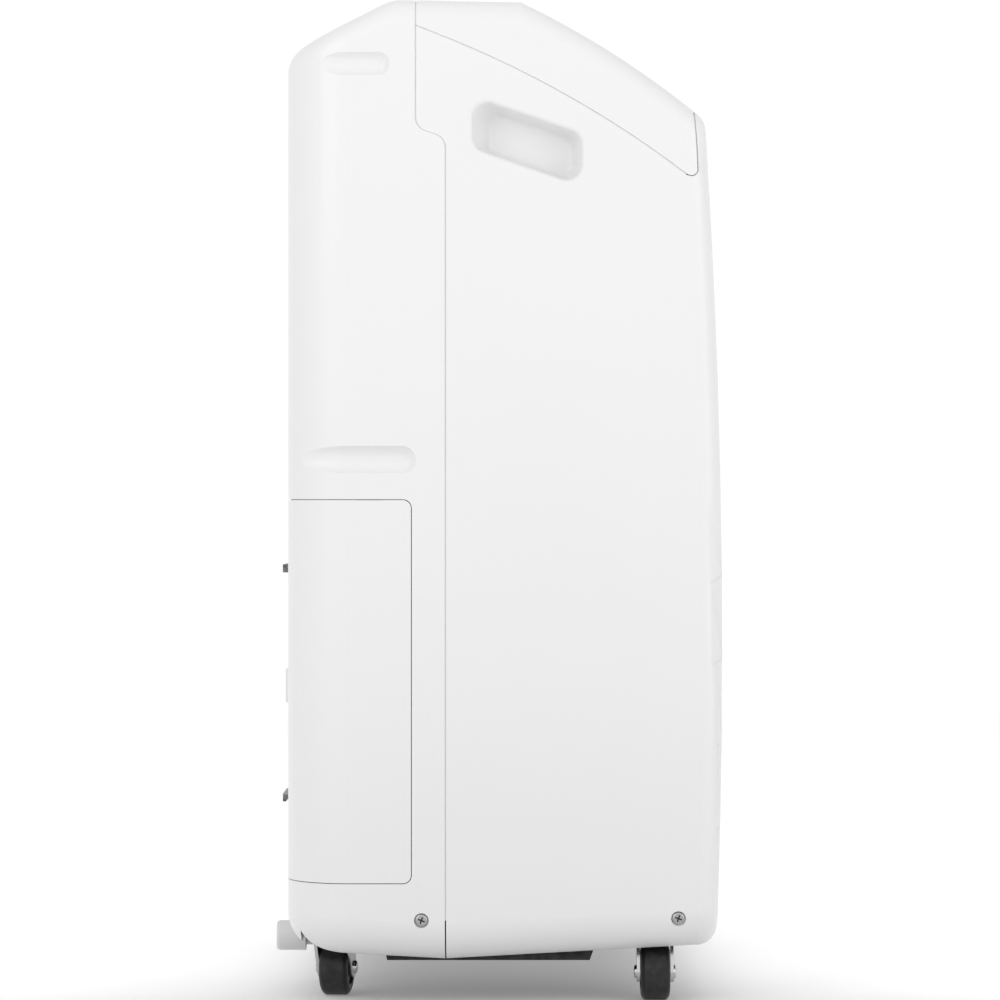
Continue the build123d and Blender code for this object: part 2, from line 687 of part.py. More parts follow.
with BuildPart() as tank_cover:
    add(skin)
    add(hollow, mode=Mode.SUBTRACT)
    extrude(bay_region(0), amount=reach, both=True, mode=Mode.INTERSECT)
with BuildPart() as tank_shelves:
    add(hollow)
    with BuildSketch(Plane.YZ):
        for z in (94.0, 286.0):
            with Locations((100.0, z)):
                Rectangle(86.0, 2.4)
    extrude(amount=reach, both=True, mode=Mode.INTERSECT)
    with BuildSketch(Plane.XY.offset(bay_low)):
        with Locations((0, bin_mid)):
            RectangleRounded(2 * bin_half, bin_rear - bin_front, bin_r)
    extrude(amount=bay_high - bay_low, mode=Mode.SUBTRACT)
with BuildPart() as tank_cover_whole:
    add(tank_cover.part)
    add(tank_shelves.part)
    with BuildSketch(Plane.YZ):
        Polygon((rear_y - 2.0, grip_low), (rear_y, grip_low), (grip_y, grip_low + 3.6),
                (grip_y, grip_high - 3.6), (rear_y, grip_high), (rear_y - 2.0, grip_high), align=None)
    extrude(amount=grip_half, both=True)
    with BuildSketch(Plane.XZ.offset(-rear_y)):
        with Locations((0, (finger_low + grip_low + 6.0) / 2)):
            RectangleRounded(2 * finger_half + 5.0, grip_low + 6.0 - finger_low + 5.0, 12.5)
    extrude(amount=rear_y - finger_y + 2.5)
    with BuildSketch(Plane.XZ.offset(-rear_y - 1)):
        with Locations((0, (finger_low + grip_low) / 2)):
            RectangleRounded(2 * finger_half, grip_low - finger_low, 10.0)
    extrude(amount=rear_y + 1 - finger_y, mode=Mode.SUBTRACT)
    with BuildSketch(Plane.XZ.offset(-finger_y)):
        with Locations((0, (finger_low + grip_low + 6.0) / 2)):
            RectangleRounded(2 * finger_half, grip_low + 6.0 - finger_low, 10.0)
    extrude(amount=-(rear_y - 4.0 - finger_y), mode=Mode.SUBTRACT)
    with BuildSketch(Plane.XZ.offset(-rear_y - 20)):
        with Locations((window_x, (window_low + window_high) / 2)):
            SlotOverall(window_high - window_low, 2 * window_half, rotation=90)
    extrude(amount=40, mode=Mode.SUBTRACT)
tank_cover_whole.part.label = "tank_cover"
export_step(tank_cover_whole.part, "parts/tank_cover.step")

with BuildPart() as level_window:
    with BuildSketch(Plane.XZ.offset(-(rear_y - wall - 1.4))):
        with Locations((window_x, (window_low + window_high) / 2)):
            SlotOverall(window_high - window_low + 6.0, 2 * window_half + 6.0, rotation=90)
    extrude(amount=-1.4)
    with BuildSketch(Plane.XZ.offset(-(rear_y - wall))):
        with Locations((window_x, (window_low + window_high) / 2)):
            SlotOverall(window_high - window_low - 0.2, 2 * window_half - 0.2, rotation=90)
    extrude(amount=-(wall - 0.3))
level_window.part.label = "level_window"
export_step(level_window.part, "parts/level_window.step")

with BuildPart() as cord_hooks:
    for z, up in hook_heights:
        with BuildSketch(Plane.XY.offset(z - hook_thick / 2)):
            with Locations((0, (rear_y + hook_tip) / 2)):
                Rectangle(2 * hook_half, hook_tip - rear_y)
        extrude(amount=hook_thick)
        corners = cord_hooks.edges().filter_by(Axis.Z).group_by(Axis.Y)[-1]
        corners = corners.filter_by(lambda e: abs(e.center().Z - z) < 1)
        fillet(corners, radius=7.0)
        with BuildSketch(Plane.XY.offset(z)):
            with Locations((0, hook_tip - 1.1)):
                Rectangle(2 * hook_half - 16.0, 2.2)
        extrude(amount=up * (hook_thick / 2 + 2.0))
cord_hooks.part.label = "cord_hooks"
export_step(cord_hooks.part, "parts/cord_hooks.step")

# ------------------------------------------------------ intake grille and filter
filter_half, filter_low, filter_high = 149.0, 352.0, 561.0
filter_front, filter_rear = 115.0, 120.0
filter_mid = (filter_low + filter_high) / 2
slat_pitch, slat_gap, slat_rows = 8.0, 4.8, 25
with BuildPart() as intake_grille:
    add(skin)
    add(envelope(3.2), mode=Mode.SUBTRACT)
    with BuildSketch(Plane.XZ.offset(-100)):
        with Locations((0, (intake_low + intake_high) / 2)):
            RectangleRounded(2 * intake_half - 0.8, intake_high - intake_low - 0.8, 5.6)
    extrude(amount=-60, mode=Mode.INTERSECT)
    with BuildSketch(Plane.XZ.offset(-100)):
        with Locations((0, (intake_low + intake_high) / 2)):
            with GridLocations(96.0, slat_pitch, 3, slat_rows):
                Rectangle(92.0, slat_gap)
    extrude(amount=-60, mode=Mode.SUBTRACT)
    with BuildSketch(Plane.XZ.offset(-filter_rear)):
        with Locations((0, (intake_low + intake_high) / 2)):
            with GridLocations(96.0, 102.0, 2, 3):
                Circle(1.9)
    extrude(amount=-(rear_y - 3.0 - filter_rear))
intake_grille.part.label = "intake_grille"
export_step(intake_grille.part, "parts/intake_grille.step")

with BuildPart() as filter_frame:
    with BuildSketch(Plane.XZ.offset(-filter_front)):
        with Locations((0, filter_mid)):
            RectangleRounded(2 * filter_half, filter_high - filter_low, 6.0)
    extrude(amount=-(filter_rear - filter_front))
    with BuildSketch(Plane.XZ.offset(-filter_front)):
        with Locations((0, filter_mid)):
            with GridLocations(96.4, 66.6, 3, 3):
                RectangleRounded(91.0, 61.0, 3.0)
    extrude(amount=-(filter_rear - filter_front), mode=Mode.SUBTRACT)
    with BuildSketch(Plane.XZ.offset(-filter_front - 1.6)):
        with Locations((0, filter_mid)):
            Rectangle(2 * filter_half - 10, filter_high - filter_low - 10)
    extrude(amount=-0.8, mode=Mode.SUBTRACT)
filter_frame.part.label = "filter_frame"
export_step(filter_frame.part, "parts/filter_frame.step")

with BuildPart() as filter_mesh:
    with BuildSketch(Plane.XZ.offset(-filter_front - 1.7)):
        with Locations((0, filter_mid)):
            Rectangle(2 * filter_half - 10.2, filter_high - filter_low - 10.2)
    extrude(amount=-0.6)
filter_mesh.part.label = "filter_mesh"
export_step(filter_mesh.part, "parts/filter_mesh.step")

# ------------------------------------------------------------ coils and drip tray
coil_half, coil_low, coil_high, coil_deep = 132.0, 328.0, 558.0, 20.0
coil_rows, coil_pitch, coil_first = 10, 22.0, 341.0
tube_r, tube_end = 4.0, 146.0
coil_top = coil_first + (coil_rows - 1) * coil_pitch
coil_places = (("evaporator", 100.0), ("condenser", 74.0))

for name, y in coil_places:
    front_plane = Plane.XZ.offset(-(y - coil_deep / 2))
    with BuildPart() as fins:
        with BuildSketch(front_plane):
            with Locations((0, (coil_low + coil_high) / 2)):
                Rectangle(2 * coil_half, coil_high - coil_low)
        extrude(amount=-coil_deep)
        with BuildSketch(Plane.YZ.offset(-coil_half - 4)):
            with Locations(*[(y, coil_first + i * coil_pitch) for i in range(coil_rows)]):
                Circle(tube_r + run_clear)
        extrude(amount=2 * coil_half + 8, mode=Mode.SUBTRACT)
    fins.part.label = f"{name}_fins"
    export_step(fins.part, f"parts/{name}_fins.step")
    with BuildPart() as tubes:
        with BuildLine() as run:
            for i in range(coil_rows):
                z = coil_first + i * coil_pitch
                side = -1 if i % 2 == 0 else 1
                start_x = tube_end if i == 0 else -side * 139.0
                end_x = tube_end if i == coil_rows - 1 else side * 139.0
                Line((start_x, y, z), (end_x, y, z))
                if i < coil_rows - 1:
                    ThreePointArc((end_x, y, z), (end_x + side * coil_pitch / 2, y, z + coil_pitch / 2),
                                  (end_x, y, z + coil_pitch))
        with BuildSketch(Plane(origin=(tube_end, y, coil_first), z_dir=(-1, 0, 0))):
            Circle(tube_r)
        sweep(path=run.wire())
    tubes.part.label = f"{name}_tubes"
    export_step(tubes.part, f"parts/{name}_tubes.step")

tray_low, tray_high = 319.0, 336.0
with BuildPart() as drip_tray:
    with BuildSketch(Plane.XY.offset(tray_low)):
        with Locations((0, 87.0)):
            RectangleRounded(290.0, 54.0, 8.0)
    extrude(amount=tray_high - tray_low)
    with BuildSketch(Plane.XY.offset(tray_low + 4.0)):
        with Locations((0, 87.0)):
            RectangleRounded(286.0, 50.0, 6.0)
    extrude(amount=20.0, mode=Mode.SUBTRACT)
    with BuildSketch(Plane.XY.offset(tray_low + 4.0)):
        with Locations((0, 75.0), (0, 99.0)):
            with GridLocations(220.0, 1.0, 2, 1):
                Rectangle(4.0, 14.0)
    extrude(amount=coil_low - tray_low - 4.0)
    with BuildSketch(Plane.XY.offset(bay_high - 2.6)):
        with Locations((drip_x, drip_y)):
            Circle(drip_r)
    extrude(amount=tray_low - bay_high + 2.6)
    with BuildSketch(Plane.XY.offset(bay_high - 2.6)):
        with Locations((drip_x, drip_y)):
            Circle(drip_r - 2.5)
    extrude(amount=30.0, mode=Mode.SUBTRACT)
    with BuildSketch(Plane.XY.offset(bay_high + liner)):
        with Locations((0, 87.0)):
            with GridLocations(240.0, 30.0, 2, 2):
                Rectangle(8.0, 8.0)
    extrude(amount=tray_low - bay_high - liner)
drip_tray.part.label = "drip_tray"
export_step(drip_tray.part, "parts/drip_tray.step")

# --------------------------------------------------------------- fan and housing
scroll_front, scroll_rear, scroll_wall = -28.0, 46.5, 2.5
scroll_r, duct_half, duct_top = 106.0, 128.0, 609.0
fan_front, fan_rear, fan_r, blade_in_r, blades = -18.0, 36.0, 78.0, 62.0, 40
inlet_r = 72.0
shaft_r, shaft_front, shaft_rear = 4.0, -62.0, 2.0


def scroll_outline():
    """Side outline of the fan housing with its flared outlet duct."""
    with BuildSketch(Plane.XZ.offset(-scroll_front)) as outline:
        with Locations((6.0, fan_z - 4.0)):
            Circle(scroll_r)
        Polygon((-96.0, fan_z), (108.0, fan_z), (duct_half, duct_top), (-duct_half, duct_top),
                align=None)
    return outline.sketch


with BuildPart() as fan_scroll:
    extrude(scroll_outline(), amount=-(scroll_rear - scroll_front))
    with BuildSketch(Plane.XZ.offset(-(scroll_front + scroll_wall))):
        with Locations((6.0, fan_z - 4.0)):
            Circle(scroll_r - scroll_wall)
        Polygon((-96.0 + scroll_wall, fan_z), (108.0 - scroll_wall, fan_z),
                (duct_half - scroll_wall, duct_top + 1), (-duct_half + scroll_wall, duct_top + 1),
                align=None)
    extrude(amount=-(scroll_rear - scroll_front - 2 * scroll_wall), mode=Mode.SUBTRACT)
    with BuildSketch(Plane.XZ.offset(-(scroll_rear - scroll_wall))):
        with Locations((0, (bay_high + liner + 560.0) / 2)):
            Rectangle(290.0, 560.0 - bay_high - liner)
    extrude(amount=-scroll_wall)
    with BuildSketch(Plane.XZ.offset(-(scroll_rear - 12))):
        with Locations((0, fan_z)):
            Circle(inlet_r)
    extrude(amount=-20.0, mode=Mode.SUBTRACT)
    with BuildSketch(Plane.XZ.offset(-scroll_rear)):
        with Locations((0, fan_z)):
            Circle(inlet_r + 3.0)
            Circle(inlet_r, mode=Mode.SUBTRACT)
    extrude(amount=-5.0)
    with BuildSketch(Plane.XZ.offset(-scroll_front + 5)):
        with Locations((0, fan_z)):
            Circle(12.0)
    extrude(amount=-12.0, mode=Mode.SUBTRACT)
fan_scroll.part.label = "fan_scroll"
export_step(fan_scroll.part, "parts/fan_scroll.step")

with BuildPart() as fan_wheel:
    with BuildSketch(Plane.XZ.offset(-fan_front)):
        with Locations((0, fan_z)):
            Circle(fan_r)
    extrude(amount=-2.0)
    with BuildSketch(Plane.XZ.offset(-fan_front - 2.0)):
        with Locations((0, fan_z)):
            Circle(11.0)
    extrude(amount=-20.0)
    with BuildSketch(Plane.XZ.offset(-fan_rear + 2.0)):
        with Locations((0, fan_z)):
            Circle(fan_r)
            Circle(blade_in_r, mode=Mode.SUBTRACT)
    extrude(amount=-2.0)
    with BuildSketch(Plane.XZ.offset(-fan_front - 2.0)):
        with Locations((0, fan_z)):
            with PolarLocations((fan_r + blade_in_r) / 2, blades):
                with Locations(Location((0, 0), 32)):
                    Rectangle(17.0, 1.3)
    extrude(amount=-(fan_rear - fan_front - 4.0))
    with BuildSketch(Plane.XZ.offset(-fan_front + 2)):
        with Locations((0, fan_z)):
            Circle(shaft_r + 0.02)
    extrude(amount=-30.0, mode=Mode.SUBTRACT)
fan_wheel.part.label = "fan_wheel"
export_step(fan_wheel.part, "parts/fan_wheel.step")

with BuildPart() as fan_shaft:
    with BuildSketch(Plane.XZ.offset(-shaft_front)):
        with Locations((0, fan_z)):
            Circle(shaft_r)
    extrude(amount=-(shaft_rear - shaft_front))
    chamfer(fan_shaft.edges().filter_by(GeomType.CIRCLE), length=0.6)
fan_shaft.part.label = "fan_shaft"
export_step(fan_shaft.part, "parts/fan_shaft.step")

motor_r, motor_front, motor_rear = 42.0, -74.0, -32.0
with BuildPart() as fan_motor:
    with BuildSketch(Plane.XZ.offset(-motor_front)):
        with Locations((0, fan_z)):
            Circle(motor_r)
    extrude(amount=-(motor_rear - motor_front))
    fillet(fan_motor.edges().filter_by(GeomType.CIRCLE), radius=6.0)
    with BuildSketch(Plane.XZ.offset(-motor_rear)):
        with Locations((0, fan_z)):
            Circle(11.0)
    extrude(amount=-4.0)
    with BuildSketch(Plane.XZ.offset(-motor_front - 16)):
        with Locations((0, fan_z)):
            Circle(motor_r + 3.0)
    extrude(amount=-12.0)
    with BuildSketch(Plane.XZ.offset(-motor_rear)):
        with Locations((0, fan_z)):
            with PolarLocations(38.0, 3, start_angle=90):
                SlotOverall(44.0, 16.0)
            with PolarLocations(52.0, 3, start_angle=90):
                Circle(2.2, mode=Mode.SUBTRACT)
    extrude(amount=-(scroll_front - motor_rear))
    with BuildSketch(Plane.XZ.offset(-shaft_front + 1.0)):
        with Locations((0, fan_z)):
            Circle(shaft_r + run_clear)
    extrude(amount=-60.0, mode=Mode.SUBTRACT)
fan_motor.part.label = "fan_motor"
export_step(fan_motor.part, "parts/fan_motor.step")

# ------------------------------------------------------------ sealed refrigeration
can_r, can_low, can_high, can_dome = 54.0, 72.0, 268.0, 20.0
foot_low, foot_high = grommet_high, grommet_high + 3.0
with BuildPart() as compressor:
    with BuildSketch(Plane(origin=(compressor_x, compressor_y, 0), x_dir=(1, 0, 0),
                           z_dir=(0, -1, 0))):
        with BuildLine():
            Line((0, can_low), (can_r - can_dome, can_low))
            TangentArc((can_r - can_dome, can_low), (can_r, can_low + can_dome), tangent=(1, 0))
            Line((can_r, can_low + can_dome), (can_r, 168.0))
            Polyline((can_r, 168.0), (can_r + 3.0, 169.0), (can_r + 3.0, 173.0), (can_r, 174.0))
            Line((can_r, 174.0), (can_r, can_high - can_dome))
            TangentArc((can_r, can_high - can_dome), (can_r - can_dome, can_high), tangent=(0, 1))
            Line((can_r - can_dome, can_high), (0, can_high))
            Line((0, can_high), (0, can_low))
        make_face()
    revolve(axis=Axis((compressor_x, compressor_y, 0), (0, 0, 1)))
    with BuildSketch(Plane.XY.offset(foot_low)):
        with Locations((compressor_x, compressor_y)):
            Circle(38.0)
        with Locations(*foot_points):
            Circle(12.0)
        make_hull()
    extrude(amount=foot_high - foot_low)
    with BuildSketch(Plane.XY.offset(foot_high)):
        with Locations((compressor_x, compressor_y)):
            Circle(34.0)
    extrude(amount=can_low - foot_high + 1.0)
    with BuildSketch(Plane.XY.offset(foot_low)):
        with Locations(*foot_points):
            Circle(stud_r + 0.6)
    extrude(amount=foot_high - foot_low, mode=Mode.SUBTRACT)
compressor.part.label = "compressor"
export_step(compressor.part, "parts/compressor.step")

with BuildPart() as compressor_grommets:
    with BuildSketch(Plane.XY.offset(grommet_low)):
        with Locations(*foot_points):
            Circle(11.0)
    extrude(amount=grommet_high - grommet_low)
    fillet(compressor_grommets.edges().filter_by(GeomType.CIRCLE), radius=2.0)
    with BuildSketch(Plane.XY.offset(grommet_low)):
        with Locations(*foot_points):
            Circle(stud_r + 0.3)
    extrude(amount=grommet_high - grommet_low, mode=Mode.SUBTRACT)
compressor_grommets.part.label = "compressor_grommets"
export_step(compressor_grommets.part, "parts/compressor_grommets.step")

with BuildPart() as compressor_bolts:
    with BuildSketch(Plane.XY.offset(grommet_low)):
        with Locations(*foot_points):
            Circle(stud_r)
    extrude(amount=foot_high + 8.0 - grommet_low)
    with BuildSketch(Plane.XY.offset(foot_high)):
        with Locations(*foot_points):
            Circle(9.0)
    extrude(amount=1.2)
    with BuildSketch(Plane.XY.offset(foot_high + 1.2)):
        with Locations(*foot_points):
            RegularPolygon(5.8, 6)
    extrude(amount=4.5)
compressor_bolts.part.label = "compressor_bolts"
export_step(compressor_bolts.part, "parts/compressor_bolts.step")

bottle_x, bottle_y, bottle_r, bottle_low, bottle_high = 142.0, -65.0, 21.0, 96.0, 228.0
with BuildPart() as suction_accumulator:
    with BuildSketch(Plane.XY.offset(bottle_low)):
        with Locations((bottle_x, bottle_y)):
            Circle(bottle_r)
    extrude(amount=bottle_high - bottle_low)
    fillet(suction_accumulator.edges().filter_by(GeomType.CIRCLE), radius=14.0)
    with BuildSketch(Plane.YZ.offset(compressor_x + can_r - 3.0)):
        with Locations((bottle_y, 150.0)):
            Rectangle(16.0, 10.0)
    extrude(amount=bottle_x - bottle_r - compressor_x - can_r + 4.0)
with BuildPart() as can_form:
    with BuildSketch(Plane.XY.offset(140.0)):
        with Locations((compressor_x, compressor_y)):
            Circle(can_r + 0.05)
    extrude(amount=26.0)
with BuildPart() as accumulator_whole:
    add(suction_accumulator.part)
    add(can_form.part, mode=Mode.SUBTRACT)
accumulator_whole.part.label = "suction_accumulator"
export_step(accumulator_whole.part, "parts/suction_accumulator.step")

evaporator_y, condenser_y = (y for _, y in coil_places)
drier_x, drier_y, drier_low, drier_high, drier_r = 168.0, 20.0, 356.0, 430.0, 8.0
pipe_routes = {
    "suction_pipe": (4.0, 12.0, ((bottle_x, bottle_y, bottle_high), (bottle_x, bottle_y, 300.0),
                                 (176.0, bottle_y, 300.0), (176.0, bottle_y, 470.0),
                                 (176.0, evaporator_y, 470.0), (176.0, evaporator_y, coil_top),
                                 (tube_end, evaporator_y, coil_top))),
    "discharge_pipe": (4.0, 8.0, ((80.0, -45.0, can_high - 3.0), (80.0, -45.0, 330.0),
                                  (162.0, -45.0, 330.0), (162.0, -45.0, 450.0),
                                  (162.0, condenser_y, 450.0), (162.0, condenser_y, coil_top),
                                  (tube_end, condenser_y, coil_top))),
}
liquid_route = ((tube_end, condenser_y, coil_first), (drier_x, condenser_y, coil_first),
                (drier_x, drier_y, coil_first), (drier_x, drier_y, drier_low + 1.0))
capillary_route = ((drier_x, drier_y, drier_high - 1.0), (drier_x, drier_y, 500.0),
                   (drier_x, 90.0, 500.0), (drier_x, 90.0, 360.0),
                   (drier_x, evaporator_y, coil_first), (tube_end, evaporator_y, coil_first))


def tube(radius, bend, points):
    """A bent tube along straight runs joined by arcs."""
    with BuildPart() as pipe:
        with BuildLine() as route:
            FilletPolyline(*points, radius=bend)
        start = Plane(origin=points[0], z_dir=Vector(*points[1]) - Vector(*points[0]))
        with BuildSketch(start):
            Circle(radius)
        sweep(path=route.wire())
    return pipe.part


for name, (radius, bend, points) in pipe_routes.items():
    with BuildPart() as pipe:
        add(tube(radius, bend, points))
        add(compressor.part, mode=Mode.SUBTRACT)
    pipe.part.label = name
    export_step(pipe.part, f"parts/{name}.step")

with BuildPart() as liquid_line:
    with BuildSketch(Plane.XY.offset(drier_low)):
        with Locations((drier_x, drier_y)):
            Circle(drier_r)
    extrude(amount=drier_high - drier_low)
    fillet(liquid_line.edges().filter_by(GeomType.CIRCLE), radius=3.5)
    add(tube(4.0, 8.0, liquid_route))
    add(tube(1.25, 6.0, capillary_route))
liquid_line.part.label = "liquid_line"
export_step(liquid_line.part, "parts/liquid_line.step")

# ------------------------------------------------------------------- electrical
box_x, box_y, box_low, box_high = 95.0, -106.0, 352.0, 432.0
with BuildPart() as electrical_box:
    with BuildSketch(Plane.XY.offset(box_low)):
        with Locations((box_x, box_y)):
            RectangleRounded(84.0, 40.0, 4.0)
    extrude(amount=box_high - box_low)
    with BuildSketch(Plane.XZ.offset(-(box_y + 18.0))):
        with Locations((box_x, (box_low + box_high) / 2)):
            RectangleRounded(90.0, box_high - box_low + 6.0, 4.0)
    extrude(amount=-4.0)
    with BuildSketch(Plane.XZ.offset(-(box_y + 22.0))):
        with Locations((box_x, (box_low + box_high) / 2)):
            with GridLocations(74.0, 66.0, 2, 2):
                Circle(3.0)
    extrude(amount=-1.6)
with BuildPart() as box_legs:
    with BuildSketch(Plane.XZ.offset(-(box_y - 18.0))):
        with Locations((box_x, (box_low + box_high) / 2)):
            with GridLocations(60.0, 50.0, 2, 2):
                Circle(4.0)
    extrude(amount=40.0)
    add(envelope(wall + 0.1), mode=Mode.INTERSECT)
with BuildPart() as electrical_box_whole:
    add(electrical_box.part)
    add(box_legs.part)
electrical_box_whole.part.label = "electrical_box"
export_step(electrical_box_whole.part, "parts/electrical_box.step")

capacitor_r = 16.0
with BuildPart() as run_capacitor:
    with BuildSketch(Plane.YZ.offset(box_x - 34.0)):
        with Locations((box_y, box_high + capacitor_r)):
            Circle(capacitor_r)
    extrude(amount=62.0)
    fillet(run_capacitor.edges().filter_by(GeomType.CIRCLE), radius=1.5)
    with BuildSketch(Plane.YZ.offset(box_x + 28.0)):
        with Locations((box_y - 6.0, box_high + capacitor_r), (box_y + 6.0, box_high + capacitor_r)):
            Rectangle(1.0, 6.0)
    extrude(amount=9.0)
run_capacitor.part.label = "run_capacitor"
export_step(run_capacitor.part, "parts/run_capacitor.step")

with BuildPart() as tank_sensor:
    with BuildSketch(Plane.XY.offset(264.0)):
        with Locations((float_x, bay_front_y - liner - 4.0)):
            RectangleRounded(26.0, 8.0, 2.0)
    extrude(amount=18.0)
tank_sensor.part.label = "tank_sensor"
export_step(tank_sensor.part, "parts/tank_sensor.step")

# ---------------------------------------------------------------------- casters
plate_low = 43.0
for name, (x, y, heading) in caster_spots.items():
    trail = Vector(math.cos(math.radians(heading)), math.sin(math.radians(heading)), 0)
    axle_dir = Vector(-trail.Y, trail.X, 0)
    hub = Vector(x, y, wheel_r) + trail * caster_trail
    side_plane = Plane(origin=hub, x_dir=trail, z_dir=-axle_dir)

    with BuildPart() as fork:
        with BuildSketch(Plane.XY.offset(plate_low)):
            with Locations((x, y)):
                Circle(15.5)
        extrude(amount=fork_top - plate_low)
        fillet(fork.faces().sort_by(Axis.Z)[-1].edges(), radius=0.8)
        with BuildSketch(Plane.XY.offset(fork_top)):
            with Locations((x, y)):
                Circle(kingpin_r)
        extrude(amount=kingpin_top - fork_top)
        for side in (1, -1):
            with BuildSketch(side_plane.offset(side * fork_gap / 2)):
                Circle(6.5)
                with Locations((-caster_trail, plate_low - wheel_r + 0.5)):
                    Rectangle(21.0, 3.0)
                make_hull()
            extrude(amount=side * fork_plate)
            with BuildSketch(side_plane.offset(side * fork_gap / 2)):
                Circle(axle_r + run_clear)
            extrude(amount=side * fork_plate, mode=Mode.SUBTRACT)
    fork.part.label = f"caster_fork_{name}"
    export_step(fork.part, f"parts/caster_fork_{name}.step")

    with BuildPart() as axle:
        half = fork_gap / 2 + fork_plate
        with BuildSketch(side_plane.offset(-half)):
            Circle(axle_r)
        extrude(amount=2 * half)
        for side in (1, -1):
            with BuildSketch(side_plane.offset(side * half)):
                Circle(4.2)
            extrude(amount=side * 1.8)
        ends = axle.edges().filter_by(GeomType.CIRCLE).filter_by(lambda e: e.radius > 4)
        outer = ends.filter_by(lambda e: abs((e.arc_center - hub).dot(axle_dir)) > half + 1)
        fillet(outer, radius=1.6)
    axle.part.label = f"caster_axle_{name}"
    export_step(axle.part, f"parts/caster_axle_{name}.step")

    with BuildPart() as wheel:
        with BuildSketch(Plane(origin=hub, x_dir=axle_dir, z_dir=trail)):
            with BuildLine():
                Polyline((-wheel_half, axle_r + run_clear), (-wheel_half, 6.0), (-8.0, 6.6),
                         (-7.4, 10.4), (-wheel_half, 11.0), (-wheel_half, 12.4))
                ThreePointArc((-wheel_half, 12.4), (-8.5, 15.6), (-6.6, wheel_r))
                Line((-6.6, wheel_r), (6.6, wheel_r))
                ThreePointArc((6.6, wheel_r), (8.5, 15.6), (wheel_half, 12.4))
                Polyline((wheel_half, 12.4), (wheel_half, 11.0), (7.4, 10.4), (8.0, 6.6),
                         (wheel_half, 6.0), (wheel_half, axle_r + run_clear))
                Line((wheel_half, axle_r + run_clear), (-wheel_half, axle_r + run_clear))
            make_face()
        revolve(axis=Axis(hub, axle_dir))
    wheel.part.label = f"caster_wheel_{name}"
    export_step(wheel.part, f"parts/caster_wheel_{name}.step")
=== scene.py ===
import math

import bmesh
import bpy
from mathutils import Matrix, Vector
from mathutils.bvhtree import BVHTree


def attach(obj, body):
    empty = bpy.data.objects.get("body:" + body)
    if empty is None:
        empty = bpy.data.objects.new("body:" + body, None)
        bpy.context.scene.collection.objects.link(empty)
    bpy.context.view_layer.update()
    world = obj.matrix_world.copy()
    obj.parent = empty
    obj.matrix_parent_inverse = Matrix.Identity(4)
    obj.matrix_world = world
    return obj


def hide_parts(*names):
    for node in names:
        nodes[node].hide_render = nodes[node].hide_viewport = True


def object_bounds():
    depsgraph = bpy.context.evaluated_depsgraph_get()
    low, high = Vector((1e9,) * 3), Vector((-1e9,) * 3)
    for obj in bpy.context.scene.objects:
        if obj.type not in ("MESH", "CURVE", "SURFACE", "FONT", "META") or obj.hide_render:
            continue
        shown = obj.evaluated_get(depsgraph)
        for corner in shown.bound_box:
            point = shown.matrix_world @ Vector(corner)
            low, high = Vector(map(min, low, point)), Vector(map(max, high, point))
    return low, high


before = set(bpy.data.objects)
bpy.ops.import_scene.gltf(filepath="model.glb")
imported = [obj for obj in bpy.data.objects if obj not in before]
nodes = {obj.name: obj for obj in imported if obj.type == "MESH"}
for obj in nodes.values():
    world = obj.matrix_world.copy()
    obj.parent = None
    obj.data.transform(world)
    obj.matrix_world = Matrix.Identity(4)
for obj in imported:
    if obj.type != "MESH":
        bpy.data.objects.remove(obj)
cad_low, cad_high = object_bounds()
MM = 0.001
CASTERS = ("front_left", "front_right", "rear_left", "rear_right")
BUTTONS = ("power", "mode", "fan_speed", "timer", "humidity_down", "humidity_up")


# ------------------------------------------------------------------------ camera
def make_camera():
    """Square-on side view from the -X side with a long lens."""
    near_side = cad_low.x
    distance = 2.300
    field = 0.6173
    data = bpy.data.cameras.new("camera")
    data.sensor_width = 36.0
    data.lens = data.sensor_width * distance / field
    data.clip_end = 50.0
    cam = bpy.data.objects.new("camera", data)
    bpy.context.scene.collection.objects.link(cam)
    cam.location = (near_side - distance, -0.00297, 0.3127)
    cam.rotation_euler = (math.radians(90), 0, math.radians(-90))
    bpy.context.scene.camera = cam


make_camera()
bpy.context.scene.view_settings.view_transform = "Standard"


# --------------------------------------------------------------------- materials
def new_material(name, colour, rough, metallic=0.0, coat=0.0, **sockets):
    """A Principled material with its constant values set, and its node tree."""
    mat = bpy.data.materials.new(name)
    mat.use_nodes = True
    shader = mat.node_tree.nodes["Principled BSDF"]
    shader.inputs["Base Color"].default_value = (*colour, 1.0)
    shader.inputs["Roughness"].default_value = rough
    shader.inputs["Metallic"].default_value = metallic
    shader.inputs["Coat Weight"].default_value = coat
    shader.inputs["Coat Roughness"].default_value = 0.12
    for socket, value in sockets.items():
        shader.inputs[socket.replace("_", " ")].default_value = value
    return mat, mat.node_tree, shader


def noise(tree, scale, detail=3.0, stretch=(1, 1, 1)):
    """Noise in object space, in features per metre, with an optional stretch."""
    where = tree.nodes.new("ShaderNodeTexCoord")
    mapping = tree.nodes.new("ShaderNodeMapping")
    mapping.inputs["Scale"].default_value = stretch
    tex = tree.nodes.new("ShaderNodeTexNoise")
    tex.inputs["Scale"].default_value = scale
    tex.inputs["Detail"].default_value = detail
    tree.links.new(where.outputs["Object"], mapping.inputs["Vector"])
    tree.links.new(mapping.outputs["Vector"], tex.inputs["Vector"])
    return tex.outputs["Fac"]


